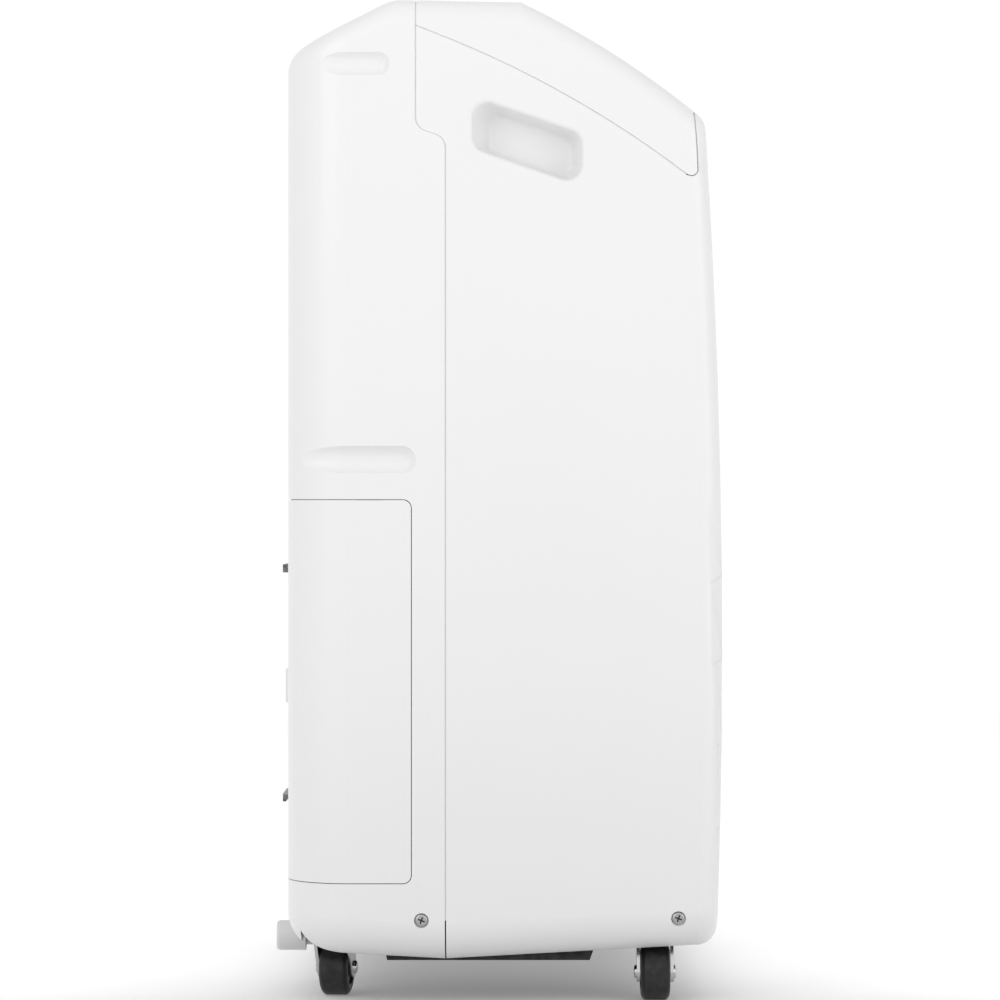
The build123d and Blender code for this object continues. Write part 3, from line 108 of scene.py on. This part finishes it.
def ramp(tree, value, low, high, out_low, out_high):
    """A smooth step of value from low..high to out_low..out_high."""
    node = tree.nodes.new("ShaderNodeMapRange")
    node.interpolation_type = "SMOOTHSTEP"
    node.inputs["From Min"].default_value = low
    node.inputs["From Max"].default_value = high
    node.inputs["To Min"].default_value = out_low
    node.inputs["To Max"].default_value = out_high
    tree.links.new(value, node.inputs["Value"])
    return node.outputs["Result"]


def combine(tree, operation, a, b):
    """One Math node on two sockets or numbers."""
    node = tree.nodes.new("ShaderNodeMath")
    node.operation = operation
    for socket, value in zip(node.inputs, (a, b)):
        if isinstance(value, (int, float)):
            socket.default_value = value
        else:
            tree.links.new(value, socket)
    return node.outputs["Value"]


def spread(tree, factor, low, high):
    """A noise factor whose usual range, 0.2 to 0.8, becomes low..high."""
    return ramp(tree, factor, 0.2, 0.8, low, high)


def tint(tree, factor, colour_a, colour_b):
    """A mix of two colours by a factor."""
    node = tree.nodes.new("ShaderNodeMix")
    node.data_type = "RGBA"
    node.inputs["A"].default_value = (*colour_a, 1.0)
    node.inputs["B"].default_value = (*colour_b, 1.0)
    tree.links.new(factor, node.inputs["Factor"])
    return node.outputs["Result"]


def edge_mask(tree, low=0.51, high=0.56):
    """White along convex edges, for wear."""
    geo = tree.nodes.new("ShaderNodeNewGeometry")
    node = tree.nodes.new("ShaderNodeMapRange")
    node.inputs["From Min"].default_value = low
    node.inputs["From Max"].default_value = high
    tree.links.new(geo.outputs["Pointiness"], node.inputs["Value"])
    return node.outputs["Result"]


def surface(name, colour, rough, shade=0.03, rough_shade=0.06, grain=900.0, bump=0.03,
            bump_distance=0.0002, cloud=14.0, stretch=(1, 1, 1), wear=None, **kwargs):
    """A material whose colour clouds, whose roughness varies and whose surface has grain."""
    mat, tree, shader = new_material(name, colour, rough, **kwargs)
    dark = tuple(c * (1 - shade) for c in colour)
    light = tuple(min(1.0, c * (1 + shade)) for c in colour)
    clouds = spread(tree, noise(tree, cloud), 0.0, 1.0)
    paint = tint(tree, clouds, dark, light)
    if wear:
        patchy = spread(tree, noise(tree, 160.0), 0.0, 0.8)
        rubbed = combine(tree, "MULTIPLY", edge_mask(tree), patchy)
        worn = tint(tree, rubbed, colour, wear)
        tree.links.new(paint, worn.node.inputs["A"])
        paint = worn
    tree.links.new(paint, shader.inputs["Base Color"])
    patches = spread(tree, noise(tree, cloud * 4), rough - rough_shade, rough + rough_shade)
    tree.links.new(patches, shader.inputs["Roughness"])
    relief = tree.nodes.new("ShaderNodeBump")
    relief.inputs["Strength"].default_value = bump
    relief.inputs["Distance"].default_value = bump_distance
    tree.links.new(noise(tree, grain, 2.0, stretch), relief.inputs["Height"])
    tree.links.new(relief.outputs["Normal"], shader.inputs["Normal"])
    return mat


case_white = surface("case_white", (0.83, 0.83, 0.828), 0.34, shade=0.004, rough_shade=0.015,
                     grain=1400, bump=0.04, bump_distance=0.0001, coat=0.15)
grille_white = surface("grille_white", (0.81, 0.81, 0.805), 0.42, shade=0.01, grain=2500, bump=0.1)
panel_dark = surface("panel_dark", (0.016, 0.017, 0.020), 0.32, shade=0.1, rough_shade=0.03,
                     grain=3000, bump=0.06, Specular_IOR_Level=0.35)
lens_smoke = surface("lens_smoke", (0.003, 0.0035, 0.005), 0.08, shade=0.1, rough_shade=0.01,
                     bump=0.01, Specular_IOR_Level=0.3)
icon_dark = surface("icon_dark", (0.05, 0.055, 0.06), 0.5, shade=0.08, grain=3000, bump=0.1)
print_pale = surface("print_pale", (0.42, 0.44, 0.46), 0.5, shade=0.05, grain=3000, bump=0.05)
button_grey = surface("button_grey", (0.56, 0.57, 0.58), 0.45, grain=3000, bump=0.12)
light_lens = surface("light_lens", (0.16, 0.55, 0.28), 0.25, bump=0.02,
                     Emission_Color=(0.15, 0.9, 0.35, 1), Emission_Strength=0.5)
digit_glow = surface("digit_glow", (0.30, 0.75, 0.80), 0.4, bump=0.02,
                     Emission_Color=(0.35, 0.95, 1.0, 1), Emission_Strength=1.6)
board_green = surface("board_green", (0.03, 0.16, 0.08), 0.35, shade=0.2, coat=0.3)
screw_chrome = surface("screw_chrome", (0.50, 0.50, 0.51), 0.24, metallic=1.0, shade=0.08,
                       grain=2200, bump=0.1)
screw_shadow = surface("screw_shadow", (0.06, 0.06, 0.062), 0.6, metallic=0.6, shade=0.2,
                       grain=2200, bump=0.2)
base_black = surface("base_black", (0.010, 0.010, 0.011), 0.55, shade=0.2, grain=2600, bump=0.25,
                     wear=(0.05, 0.05, 0.05), Specular_IOR_Level=0.3)
port_grey = surface("port_grey", (0.70, 0.70, 0.70), 0.42, shade=0.02, grain=2400, bump=0.08)
# Painted shade: the cord hooks are dark grey all over, standing in for the shade on their stems;
# the lighter edges are wear.
hook_grey = surface("hook_grey", (0.10, 0.10, 0.105), 0.4, grain=2400, bump=0.15,
                    wear=(0.2, 0.2, 0.2))
gland_black = surface("gland_black", (0.018, 0.018, 0.019), 0.6, shade=0.15, grain=1800, bump=0.3)
# Painted shade: a dark grey for the lip in the seam gap over the tank, standing in for the shade
# inside that gap.
seam_shade_grey = surface("seam_shade_grey", (0.09, 0.09, 0.092), 0.6, shade=0.1, grain=1800, bump=0.2)
tray_white = surface("tray_white", (0.74, 0.74, 0.73), 0.45, shade=0.02, grain=1800, bump=0.15)
float_foam = surface("float_foam", (0.78, 0.78, 0.76), 0.85, shade=0.06, grain=900, bump=0.6,
                     bump_distance=0.0005)
filter_black = surface("filter_black", (0.022, 0.022, 0.024), 0.5, grain=2200, bump=0.2)
mesh_black = surface("mesh_black", (0.028, 0.028, 0.031), 0.7, grain=4000, bump=0.3)
fin_aluminium = surface("fin_aluminium", (0.72, 0.73, 0.74), 0.34, metallic=1.0, grain=1600,
                        bump=0.2, shade=0.06)
tube_copper = surface("tube_copper", (0.78, 0.38, 0.22), 0.30, metallic=1.0, shade=0.18,
                      rough_shade=0.12, cloud=40, grain=1200, bump=0.12, wear=(0.85, 0.55, 0.38))
scroll_grey = surface("scroll_grey", (0.56, 0.57, 0.57), 0.5, grain=1800, bump=0.15)
fan_grey = surface("fan_grey", (0.30, 0.32, 0.33), 0.42, grain=1800, bump=0.12)
motor_steel = surface("motor_steel", (0.50, 0.50, 0.51), 0.36, metallic=1.0, shade=0.08,
                      grain=1500, bump=0.15, stretch=(1, 6, 1))
can_black = surface("can_black", (0.014, 0.014, 0.016), 0.30, shade=0.2, coat=0.3, grain=500,
                    bump=0.08, wear=(0.12, 0.10, 0.09))
grommet_rubber = surface("grommet_rubber", (0.03, 0.03, 0.03), 0.75, shade=0.2, grain=1800,
                         bump=0.3)
box_grey = surface("box_grey", (0.46, 0.47, 0.48), 0.4, metallic=0.8, shade=0.12, cloud=60,
                   bump=0.1)
capacitor_alu = surface("capacitor_alu", (0.64, 0.64, 0.65), 0.28, metallic=1.0, bump=0.08)
wheel_black = surface("wheel_black", (0.008, 0.008, 0.009), 0.42, shade=0.3, rough_shade=0.1,
                      grain=1500, bump=0.2, wear=(0.05, 0.048, 0.045), Specular_IOR_Level=0.35)
fork_chrome = surface("fork_chrome", (0.62, 0.62, 0.63), 0.16, metallic=1.0, shade=0.05,
                      rough_shade=0.05, bump=0.04)
tank_clear = surface("tank_clear", (0.74, 0.80, 0.84), 0.30, shade=0.02, bump=0.08,
                     Transmission_Weight=0.75, IOR=1.49)
window_clear = surface("window_clear", (0.50, 0.60, 0.66), 0.08, shade=0.02, bump=0.01,
                       Transmission_Weight=0.9, IOR=1.49)

FINISH = {
    "front_shell": case_white, "rear_shell": case_white, "top_cover": case_white,
    "tank_cover": case_white, "outlet_grille": grille_white, "intake_grille": grille_white,
    "control_fascia": panel_dark, "display_lens": lens_smoke, "indicator_lights": light_lens,
    "control_board": board_green, "case_screws": screw_chrome, "base_pan": base_black,
    "drain_port": port_grey, "drain_cap": port_grey, "cord_gland": gland_black,
    "tank_bay": tray_white, "drip_tray": tray_white, "tank_bin": tank_clear, "tank_lid": tray_white,
    "level_window": window_clear, "cord_hooks": hook_grey, "tank_float": float_foam,
    "filter_frame": filter_black, "filter_mesh": mesh_black, "evaporator_fins": fin_aluminium,
    "condenser_fins": fin_aluminium, "evaporator_tubes": tube_copper,
    "condenser_tubes": tube_copper,
    "suction_pipe": tube_copper, "discharge_pipe": tube_copper, "liquid_line": tube_copper,
    "fan_scroll": scroll_grey, "fan_wheel": fan_grey, "fan_shaft": motor_steel,
    "fan_motor": motor_steel, "compressor": can_black, "suction_accumulator": can_black,
    "compressor_grommets": grommet_rubber, "compressor_bolts": motor_steel,
    "electrical_box": box_grey, "run_capacitor": capacitor_alu, "tank_sensor": gland_black,
}
FINISH.update({f"{name}_button": button_grey for name in BUTTONS})
for name in CASTERS:
    FINISH[f"caster_fork_{name}"] = fork_chrome
    FINISH[f"caster_axle_{name}"] = fork_chrome
    FINISH[f"caster_wheel_{name}"] = wheel_black


def dress_nodes():
    """Every CAD node takes its material and shades smoothly up to its real edges."""
    for name, obj in nodes.items():
        obj.data.materials.clear()
        obj.data.materials.append(FINISH[name])
        obj.data.polygons.foreach_set("use_smooth", [True] * len(obj.data.polygons))
        obj.data.set_sharp_from_angle(angle=math.radians(28))


dress_nodes()


# ---------------------------------------------------------------- detail pieces
def new_piece(name, bm, material, body, replaces=None):
    """A finished mesh from bm, dressed, riding on its body, standing in for a CAD node."""
    mesh = bpy.data.meshes.new(name)
    bmesh.ops.recalc_face_normals(bm, faces=bm.faces)
    bm.to_mesh(mesh)
    bm.free()
    mesh.materials.append(material)
    piece = bpy.data.objects.new(name, mesh)
    bpy.context.scene.collection.objects.link(piece)
    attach(piece, body)
    if replaces:
        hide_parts(replaces)
    return piece


def add_box(bm, low, high):
    """An axis-aligned block between two corners, in millimetres."""
    corners = [bm.verts.new((x * MM, y * MM, z * MM))
               for x in (low[0], high[0]) for y in (low[1], high[1]) for z in (low[2], high[2])]
    for face in ((0, 1, 3, 2), (4, 6, 7, 5), (0, 4, 5, 1),
                 (2, 3, 7, 6), (0, 2, 6, 4), (1, 5, 7, 3)):
        bm.faces.new([corners[i] for i in face])


def ribbon(bm, place, points, width, low, high, closed=False):
    """A raised line along 2-D points; place maps (u, v, height) to a point in space."""
    pts = [Vector(p) for p in points]
    count = len(pts)
    rings = []
    for i, p in enumerate(pts):
        before = pts[i - 1] if i or closed else p
        after = pts[(i + 1) % count] if i < count - 1 or closed else p
        along = (after - p).normalized() + (p - before).normalized()
        along.normalize()
        side = Vector((-along.y, along.x)) * width / 2
        rings.append([bm.verts.new(place(*(p + side * s), h))
                      for s, h in ((1, low), (1, high), (-1, high), (-1, low))])
    last = count if closed else count - 1
    for i in range(last):
        a, b = rings[i], rings[(i + 1) % count]
        for j in range(4):
            k = (j + 1) % 4
            bm.faces.new((a[j], a[k], b[k], b[j]))
    if not closed:
        bm.faces.new(rings[0])
        bm.faces.new(rings[-1])


def arc(centre, radius, start, end, steps):
    """Points on an arc, angles in degrees."""
    return [(centre[0] + radius * math.cos(math.radians(start + (end - start) * i / steps)),
             centre[1] + radius * math.sin(math.radians(start + (end - start) * i / steps)))
            for i in range(steps + 1)]


def circle_through(a, b, c):
    """Centre of the circle through three (y, z) points, and its radius."""
    d = 2 * (a[0] * (b[1] - c[1]) + b[0] * (c[1] - a[1]) + c[0] * (a[1] - b[1]))
    aa, bb, cc = (p[0] ** 2 + p[1] ** 2 for p in (a, b, c))
    y = (aa * (b[1] - c[1]) + bb * (c[1] - a[1]) + cc * (a[1] - b[1])) / d
    z = (aa * (c[0] - b[0]) + bb * (a[0] - c[0]) + cc * (b[0] - a[0])) / d
    return y, z, math.hypot(a[0] - y, a[1] - z)


SLOPE_Y, SLOPE_Z, SLOPE_R = circle_through((-130.2, 548.6), (-70.5, 591.9), (-16.0, 621.9))


def on_slope(x, y, depth):
    """Point in metres under plan point (x, y), sunk by depth from the case surface."""
    ny = (y - SLOPE_Y) / SLOPE_R
    nz = math.sqrt(1 - ny ** 2)
    out = SLOPE_R - depth
    return Vector((x, SLOPE_Y + ny * out, SLOPE_Z + nz * out)) * MM


def slope_patch(x, y):
    """A place function for small drawings centred on plan point (x, y) of the slope."""
    nz = math.sqrt(1 - ((y - SLOPE_Y) / SLOPE_R) ** 2)
    return lambda u, v, height: on_slope(x + u, y + v * nz, -height)


BUTTON_Y, BUTTON_PITCH = -93.0, 34.0
READOUT_Y = -51.0
READOUT_LOW, READOUT_TOP = -0.9, -0.72      # heights from the case's surface
PRINT_TOP = -0.74
BUTTON_XS = [(i - 2.5) * BUTTON_PITCH for i in range(6)]


def blade(turn):
    """Outline of one curved fan blade, turned by an angle in degrees."""
    outline = arc((1.75, 0.45), 1.45, 0, 340, 12)
    c, s = math.cos(math.radians(turn)), math.sin(math.radians(turn))
    return [(c * x - s * y, s * x + c * y) for x, y in outline]


def make_icons():
    """Raised symbols on the six buttons."""
    drop = [(0.0, 3.2), *arc((0.0, -0.7), 2.1, 28, -208, 18)]
    symbols = {
        "power": [(arc((0, -0.3), 2.6, 120, 420, 22), False), ([(0, 0.2), (0, 3.3)], False)],
        "mode": [(drop, True)],
        "fan_speed": [(blade(turn), True) for turn in (90, 210, 330)],
        "timer": [(arc((0, 0), 2.8, 0, 345, 23), True), ([(0, 1.9), (0, 0), (1.4, -0.8)], False)],
        "humidity_down": [([(-2.4, 0), (2.4, 0)], False)],
        "humidity_up": [([(-2.4, 0), (2.4, 0)], False), ([(0, -2.4), (0, 2.4)], False)],
    }
    for name, x in zip(BUTTONS, BUTTON_XS):
        bm = bmesh.new()
        for points, closed in symbols[name]:
            ribbon(bm, slope_patch(x, BUTTON_Y), points, 0.62, -0.2, -0.02, closed)
        new_piece(f"{name}_symbol", bm, icon_dark, f"{name}_button")


def make_readout():
    """Seven-segment reading and a drop behind the display window."""
    on = {"4": "bcfg", "5": "acdfg"}
    across, tall, slant = 7.0, 13.0, 0.12
    bm = bmesh.new()
    for digit, x0 in (("4", -11.0), ("5", 1.0)):
        half = tall / 2
        ends = {"a": ((0, tall), (across, tall)), "b": ((across, tall), (across, half)),
                "c": ((across, half), (across, 0)), "d": ((0, 0), (across, 0)),
                "f": ((0, tall), (0, half)), "g": ((0, half), (across, half))}
        for name in on[digit]:
            a, b = (Vector(p) for p in ends[name])
            step = (b - a).normalized() * 0.75
            line = [(p.x + p.y * slant + x0, p.y - half) for p in (a + step, b - step)]
            ribbon(bm, slope_patch(0, READOUT_Y), line, 1.3, READOUT_LOW, READOUT_TOP)
    drop = [(0.0, 2.6), *arc((0.0, -0.6), 1.7, 28, -208, 16)]
    ribbon(bm, slope_patch(19.0, READOUT_Y), drop, 0.6, READOUT_LOW, READOUT_TOP, True)
    new_piece("display_reading", bm, digit_glow, "chassis")


def make_panel_print():
    """A fine printed frame round the display, and a ring round each button."""
    bm = bmesh.new()
    half, front, rear, r = 40.0, -68.0, -34.0, 4.0
    low, high = -0.9, PRINT_TOP
    corners = ((half - r, rear - r, 0), (-half + r, rear - r, 90),
               (-half + r, front + r, 180), (half - r, front + r, 270))
    points = [p for x, y, a in corners for p in arc((x, y), r, a, a + 90, 6)]
    ribbon(bm, lambda u, v, h: on_slope(u, v, -h), points, 0.35, low, high, True)
    ring = arc((0, 0), 8.6, 0, 345, 35)
    for x in BUTTON_XS:
        ribbon(bm, slope_patch(x, BUTTON_Y), ring, 0.3, low, high, True)
    new_piece("panel_print", bm, print_pale, "chassis")


def make_fins():
    """Thin separate fins with two end plates, in place of each solid fin block."""
    for name, y in (("evaporator", 100.0), ("condenser", 74.0)):
        bm = bmesh.new()
        front, rear, low, high, half = y - 10.0, y + 10.0, 328.0, 558.0, 132.0
        for side in (-1, 1):
            plate = sorted((side * half, side * (half - 1.2)))
            add_box(bm, (plate[0], front, low), (plate[1], rear, high))
        pitch, count = 1.9, 137
        for i in range(count):
            x = (i - (count - 1) / 2) * pitch
            add_box(bm, (x - 0.09, front + 0.4, low + 0.5), (x + 0.09, rear - 0.4, high - 0.5))
        new_piece(f"{name}_fin_pack", bm, fin_aluminium, "chassis", f"{name}_fins")


def make_filter_mesh():
    """A woven screen of fine threads in place of the solid sheet."""
    bm = bmesh.new()
    half, low, high, mid_y = 143.9, 357.1, 555.9, 117.0
    thread, pitch = 0.22, 1.6
    count = int(2 * half / pitch)
    for i in range(count + 1):
        x = -half + i * 2 * half / count
        add_box(bm, (x - thread, mid_y - 0.28, low), (x + thread, mid_y + 0.04, high))
    count = int((high - low) / pitch)
    for i in range(count + 1):
        z = low + i * (high - low) / count
        add_box(bm, (-half, mid_y - 0.04, z - thread), (half, mid_y + 0.28, z + thread))
    new_piece("filter_screen", bm, mesh_black, "intake_cassette", "filter_mesh")


def make_level_marks():
    """Printed level lines across the tank's window, long and short in turn."""
    bm = bmesh.new()
    window_x, lowest, pitch, half_line = 95.0, 130.0, 20.0, 0.35
    for i in range(7):
        z = lowest + i * pitch
        reach = 5.0 if i % 2 == 0 else 3.0
        add_box(bm, (window_x - reach, 129.66, z - half_line),
                (window_x + reach, 129.78, z + half_line))
    new_piece("level_marks", bm, icon_dark, "tank")


def shade_screw_recesses():
    """Painted shade: the cross recesses of the case screws take a darker material than the heads,
    standing in for the shade in them.
    """
    centres = ((45.6, 53.0), (-113.2, 54.2))
    recess_bottom, recess_mouth, recess_reach = 188.3, 189.6, 2.6
    mesh = nodes["case_screws"].data
    mesh.materials.append(screw_shadow)
    for face in mesh.polygons:
        x, y, z = (value / MM for value in face.center)
        near = any(math.hypot(y - cy, z - cz) < recess_reach for cy, cz in centres)
        if near and recess_bottom < abs(x) < recess_mouth:
            face.material_index = 1


def rounded(points, radius, steps=6):
    """A polyline whose inner corners are rounded with arcs."""
    pts = [Vector(p) for p in points]
    path = [pts[0]]
    for before, corner, after in zip(pts, pts[1:], pts[2:]):
        a, b = (before - corner).normalized(), (after - corner).normalized()
        half = a.angle(b) / 2
        centre = corner + (a + b).normalized() * radius / math.sin(half)
        first = corner + a * radius / math.tan(half) - centre
        last = corner + b * radius / math.tan(half) - centre
        turn = first.angle_signed(last)
        for i in range(steps + 1):
            angle = -turn * i / steps
            c, s = math.cos(angle), math.sin(angle)
            path.append(centre + Vector((first.x * c - first.y * s, first.x * s + first.y * c)))
    path.append(pts[-1])
    return path


HALF_WIDTH, TOP_ROLL, RIDGE_TOP = 190.0, 16.0, 623.2
SEAM_HIGH_Y, SEAM_LOW_Y = 49.2, 30.7        # the joint's two upright runs
TONGUE_SINK, TONGUE_THICK, TONGUE_HALF = 0.75, 1.35, 0.38
ROLL_START = 604.0                          # height where the sides begin to roll over


def surface_x(trees, side, y, z):
    """How far out the case's side is at a height and depth, or None past its outline."""
    start, inwards = Vector((side * 300, y, z)) * MM, Vector((-side, 0, 0))
    hits = (tree.ray_cast(start, inwards) for tree in trees)
    found = [abs(hit[0].x) / MM for hit in hits if hit[0] is not None]
    return max(found) if found else None


def sunk_strip(bm, trees, side, path):
    """A strip along a side-view path that stays just under the case's rolled surface."""
    half, beyond_gap, still_side = TONGUE_HALF, 1.2, 150
    last = None
    for before, point, after in zip(path, path[1:], path[2:]):
        along = (after - before).normalized()
        across = Vector((-along.y, along.x))
        beside = [surface_x(trees, side, *(point + across * step))
                  for step in (-beyond_gap, beyond_gap)]
        if None in beside or min(beside) < still_side:
            break
        out = min(beside) - TONGUE_SINK
        deep = out - TONGUE_THICK
        ring = [bm.verts.new(Vector((side * x, *(point + across * step))) * MM)
                for step, x in ((-half, out), (half, out), (half, deep), (-half, deep))]
        if last:
            for i in range(4):
                bm.faces.new((last[i], last[i - 1], ring[i - 1], ring[i]))
        else:
            bm.faces.new(ring)
        last = ring
    bm.faces.new(reversed(last))


def resampled(path, step):
    """The same polyline with points at most a step apart."""
    points = [path[0]]
    for a, b in zip(path, path[1:]):
        count = max(1, math.ceil((b - a).length / step))
        points += [a.lerp(b, i / count) for i in range(1, count + 1)]
    return points


def make_seam_tongues():
    """The tongues that close the case seams just under its surface."""
    meshes = (nodes[name].data for name in ("front_shell", "top_cover"))
    case = [BVHTree.FromPolygons([v.co for v in mesh.vertices],
                                 [face.vertices for face in mesh.polygons]) for mesh in meshes]
    joint = rounded([(SEAM_HIGH_Y, ROLL_START), (SEAM_HIGH_Y, 542.6),
                     (SEAM_LOW_Y, 536.7), (SEAM_LOW_Y, 53.0)], 9.0)
    first, middle, last = (41.9, 603.7), (-43.5, 563.8), (-118.6, 514.4)
    y, z, r = circle_through(first, middle, last)
    start, end = (math.degrees(math.atan2(p[1] - z, p[0] - y)) for p in (first, last))
    cover = [(49.0, 605.6)] + arc((y, z), r - 0.8, start, end, 40)
    front = rounded([(-118.0, 513.2), (-125.4, 511.4), (-124.8, 529.0), (-123.1, 552.3)], 3.9)
    sunk = 1.4                              # middle of a tongue under the surface
    roll = (HALF_WIDTH - TOP_ROLL, RIDGE_TOP - TOP_ROLL)
    over = [(HALF_WIDTH - sunk, ROLL_START)] + arc(roll, TOP_ROLL - sunk, 0, 90, 16)
    over += [(-x, height) for x, height in reversed(over)]
    for side, label in ((-1, "left"), (1, "right")):
        bm = bmesh.new()
        for path in (joint, cover):
            ribbon(bm, lambda u, v, h: Vector((side * h, u, v)) * MM, path,
                   2 * TONGUE_HALF, HALF_WIDTH - 2.1, HALF_WIDTH - TONGUE_SINK)
        sunk_strip(bm, case, side, resampled(front, 0.8))
        new_piece(f"seam_tongue_{label}", bm, case_white, "chassis")
    bm = bmesh.new()
    ribbon(bm, lambda u, v, h: Vector((u, h, v)) * MM, over, 1.3,
           SEAM_HIGH_Y - TONGUE_HALF, SEAM_HIGH_Y + TONGUE_HALF)
    new_piece("seam_tongue_top", bm, case_white, "chassis")


def make_tank_seam_shade():
    """The dark lip under the rear case that closes the gap over the tank; its dark grey is painted
    shade, standing in for the shade inside the seam gap.
    """
    side, rear, corner, front = 187.2, 127.2, 37.2, 54.0
    gap_low, gap_high = 312.68, 313.1
    path = [(side, front)] + arc((side - corner, rear - corner), corner, 0, 90, 16)
    path += [(-x, y) for x, y in reversed(path)]
    bm = bmesh.new()
    ribbon(bm, lambda u, v, h: Vector((u, v, h)) * MM, path, 2.0, gap_low, gap_high)
    new_piece("tank_seam_shade_lip", bm, seam_shade_grey, "chassis")


make_seam_tongues()
make_tank_seam_shade()
make_icons()
make_readout()
make_panel_print()
make_fins()
make_filter_mesh()
make_level_marks()
shade_screw_recesses()


# -------------------------------------------------------------- studio and floor
def area_light(name, place, aim, size, power, size_y=None):
    """A soft rectangular light that looks at aim."""
    data = bpy.data.lights.new(name, "AREA")
    data.shape = "RECTANGLE"
    data.size = size
    data.size_y = size_y or size
    data.energy = power
    lamp = bpy.data.objects.new(name, data)
    bpy.context.scene.collection.objects.link(lamp)
    lamp.location = place
    lamp.rotation_euler = (Vector(aim) - Vector(place)).to_track_quat("-Z", "Y").to_euler()


def surround_level(tree, direction_x):
    """Brightness of the surround: white behind the object, bright before it, softer beside."""
    behind = ramp(tree, direction_x, 0.40, 0.97, 0.66, 1.03)
    before = ramp(tree, direction_x, -0.90, -0.15, 0.33, 0.0)
    return combine(tree, "ADD", behind, before)


def make_world():
    """A pale surround with no visible source."""
    world = bpy.data.worlds.new("studio")
    world.use_nodes = True
    tree = world.node_tree
    where = tree.nodes.new("ShaderNodeTexCoord")
    split = tree.nodes.new("ShaderNodeSeparateXYZ")
    tree.links.new(where.outputs["Generated"], split.inputs["Vector"])
    background = tree.nodes["Background"]
    background.inputs["Color"].default_value = (1, 1, 1, 1)
    tree.links.new(surround_level(tree, split.outputs["X"]), background.inputs["Strength"])
    bpy.context.scene.world = world


def distance(tree, centre, scale):
    """Distance in the floor from a centre, with the axes scaled."""
    where = tree.nodes.new("ShaderNodeTexCoord")
    mapping = tree.nodes.new("ShaderNodeMapping")
    mapping.vector_type = "TEXTURE"
    mapping.inputs["Location"].default_value = centre
    mapping.inputs["Scale"].default_value = scale
    length = tree.nodes.new("ShaderNodeVectorMath")
    length.operation = "LENGTH"
    tree.links.new(where.outputs["Object"], mapping.inputs["Vector"])
    tree.links.new(mapping.outputs["Vector"], length.inputs[0])
    return length.outputs["Value"]


def make_floor():
    """A pale floor that runs into the surround far off, softly shaded on the -X side."""
    mesh = bpy.data.meshes.new("floor")
    reach, z = 12.0, -0.0002
    corners = [(x * reach, y * reach, z) for x, y in ((-1, -1), (1, -1), (1, 1), (-1, 1))]
    mesh.from_pydata(corners, [], [(0, 1, 2, 3)])
    floor = bpy.data.objects.new("floor", mesh)
    bpy.context.scene.collection.objects.link(floor)
    pale, tree, shader = new_material("floor_pale", (0.90, 0.90, 0.90), 0.8, Specular_IOR_Level=0.0)
    tree.links.new(spread(tree, noise(tree, 3.0), 0.76, 0.84), shader.inputs["Roughness"])
    where = tree.nodes.new("ShaderNodeTexCoord")
    direction = tree.nodes.new("ShaderNodeVectorMath")
    direction.operation = "NORMALIZE"
    split = tree.nodes.new("ShaderNodeSeparateXYZ")
    tree.links.new(where.outputs["Object"], direction.inputs[0])
    tree.links.new(direction.outputs["Vector"], split.inputs["Vector"])
    far = ramp(tree, distance(tree, (0, 0, 0), (1, 1, 1)), 0.8, 3.5, 0.0, 1.0)
    near = ramp(tree, far, 0.0, 1.0, 1.0, 0.0)
    shade = ramp(tree, distance(tree, (-0.48, 0, 0), (1, 1.1, 1)), 0.10, 0.60, 0.0, 1.0)
    lit = tint(tree, shade, (0.66, 0.66, 0.66), (0.90, 0.90, 0.90))
    paint = tint(tree, far, (0.9, 0.9, 0.9), (0, 0, 0))
    tree.links.new(lit, paint.node.inputs["A"])
    tree.links.new(paint, shader.inputs["Base Color"])
    glow = combine(tree, "MULTIPLY", ramp(tree, shade, 0.0, 1.0, 0.0, 0.30), near)
    sky = combine(tree, "MULTIPLY", surround_level(tree, split.outputs["X"]), far)
    tree.links.new(combine(tree, "ADD", glow, sky), shader.inputs["Emission Strength"])
    shader.inputs["Emission Color"].default_value = (1, 1, 1, 1)
    mesh.materials.append(pale)


def make_lights():
    """Large soft lights on the camera's side and overhead."""
    middle = (0, 0, 0.32)
    area_light("key", (-1.9, 1.6, 1.5), middle, 1.3, 10.0, 1.8)
    area_light("fill", (-1.6, -1.9, 0.9), middle, 1.2, 6.5, 1.8)
    area_light("top", (-0.3, 0.0, 2.6), middle, 2.2, 3.2)


make_world()
make_floor()
make_lights()
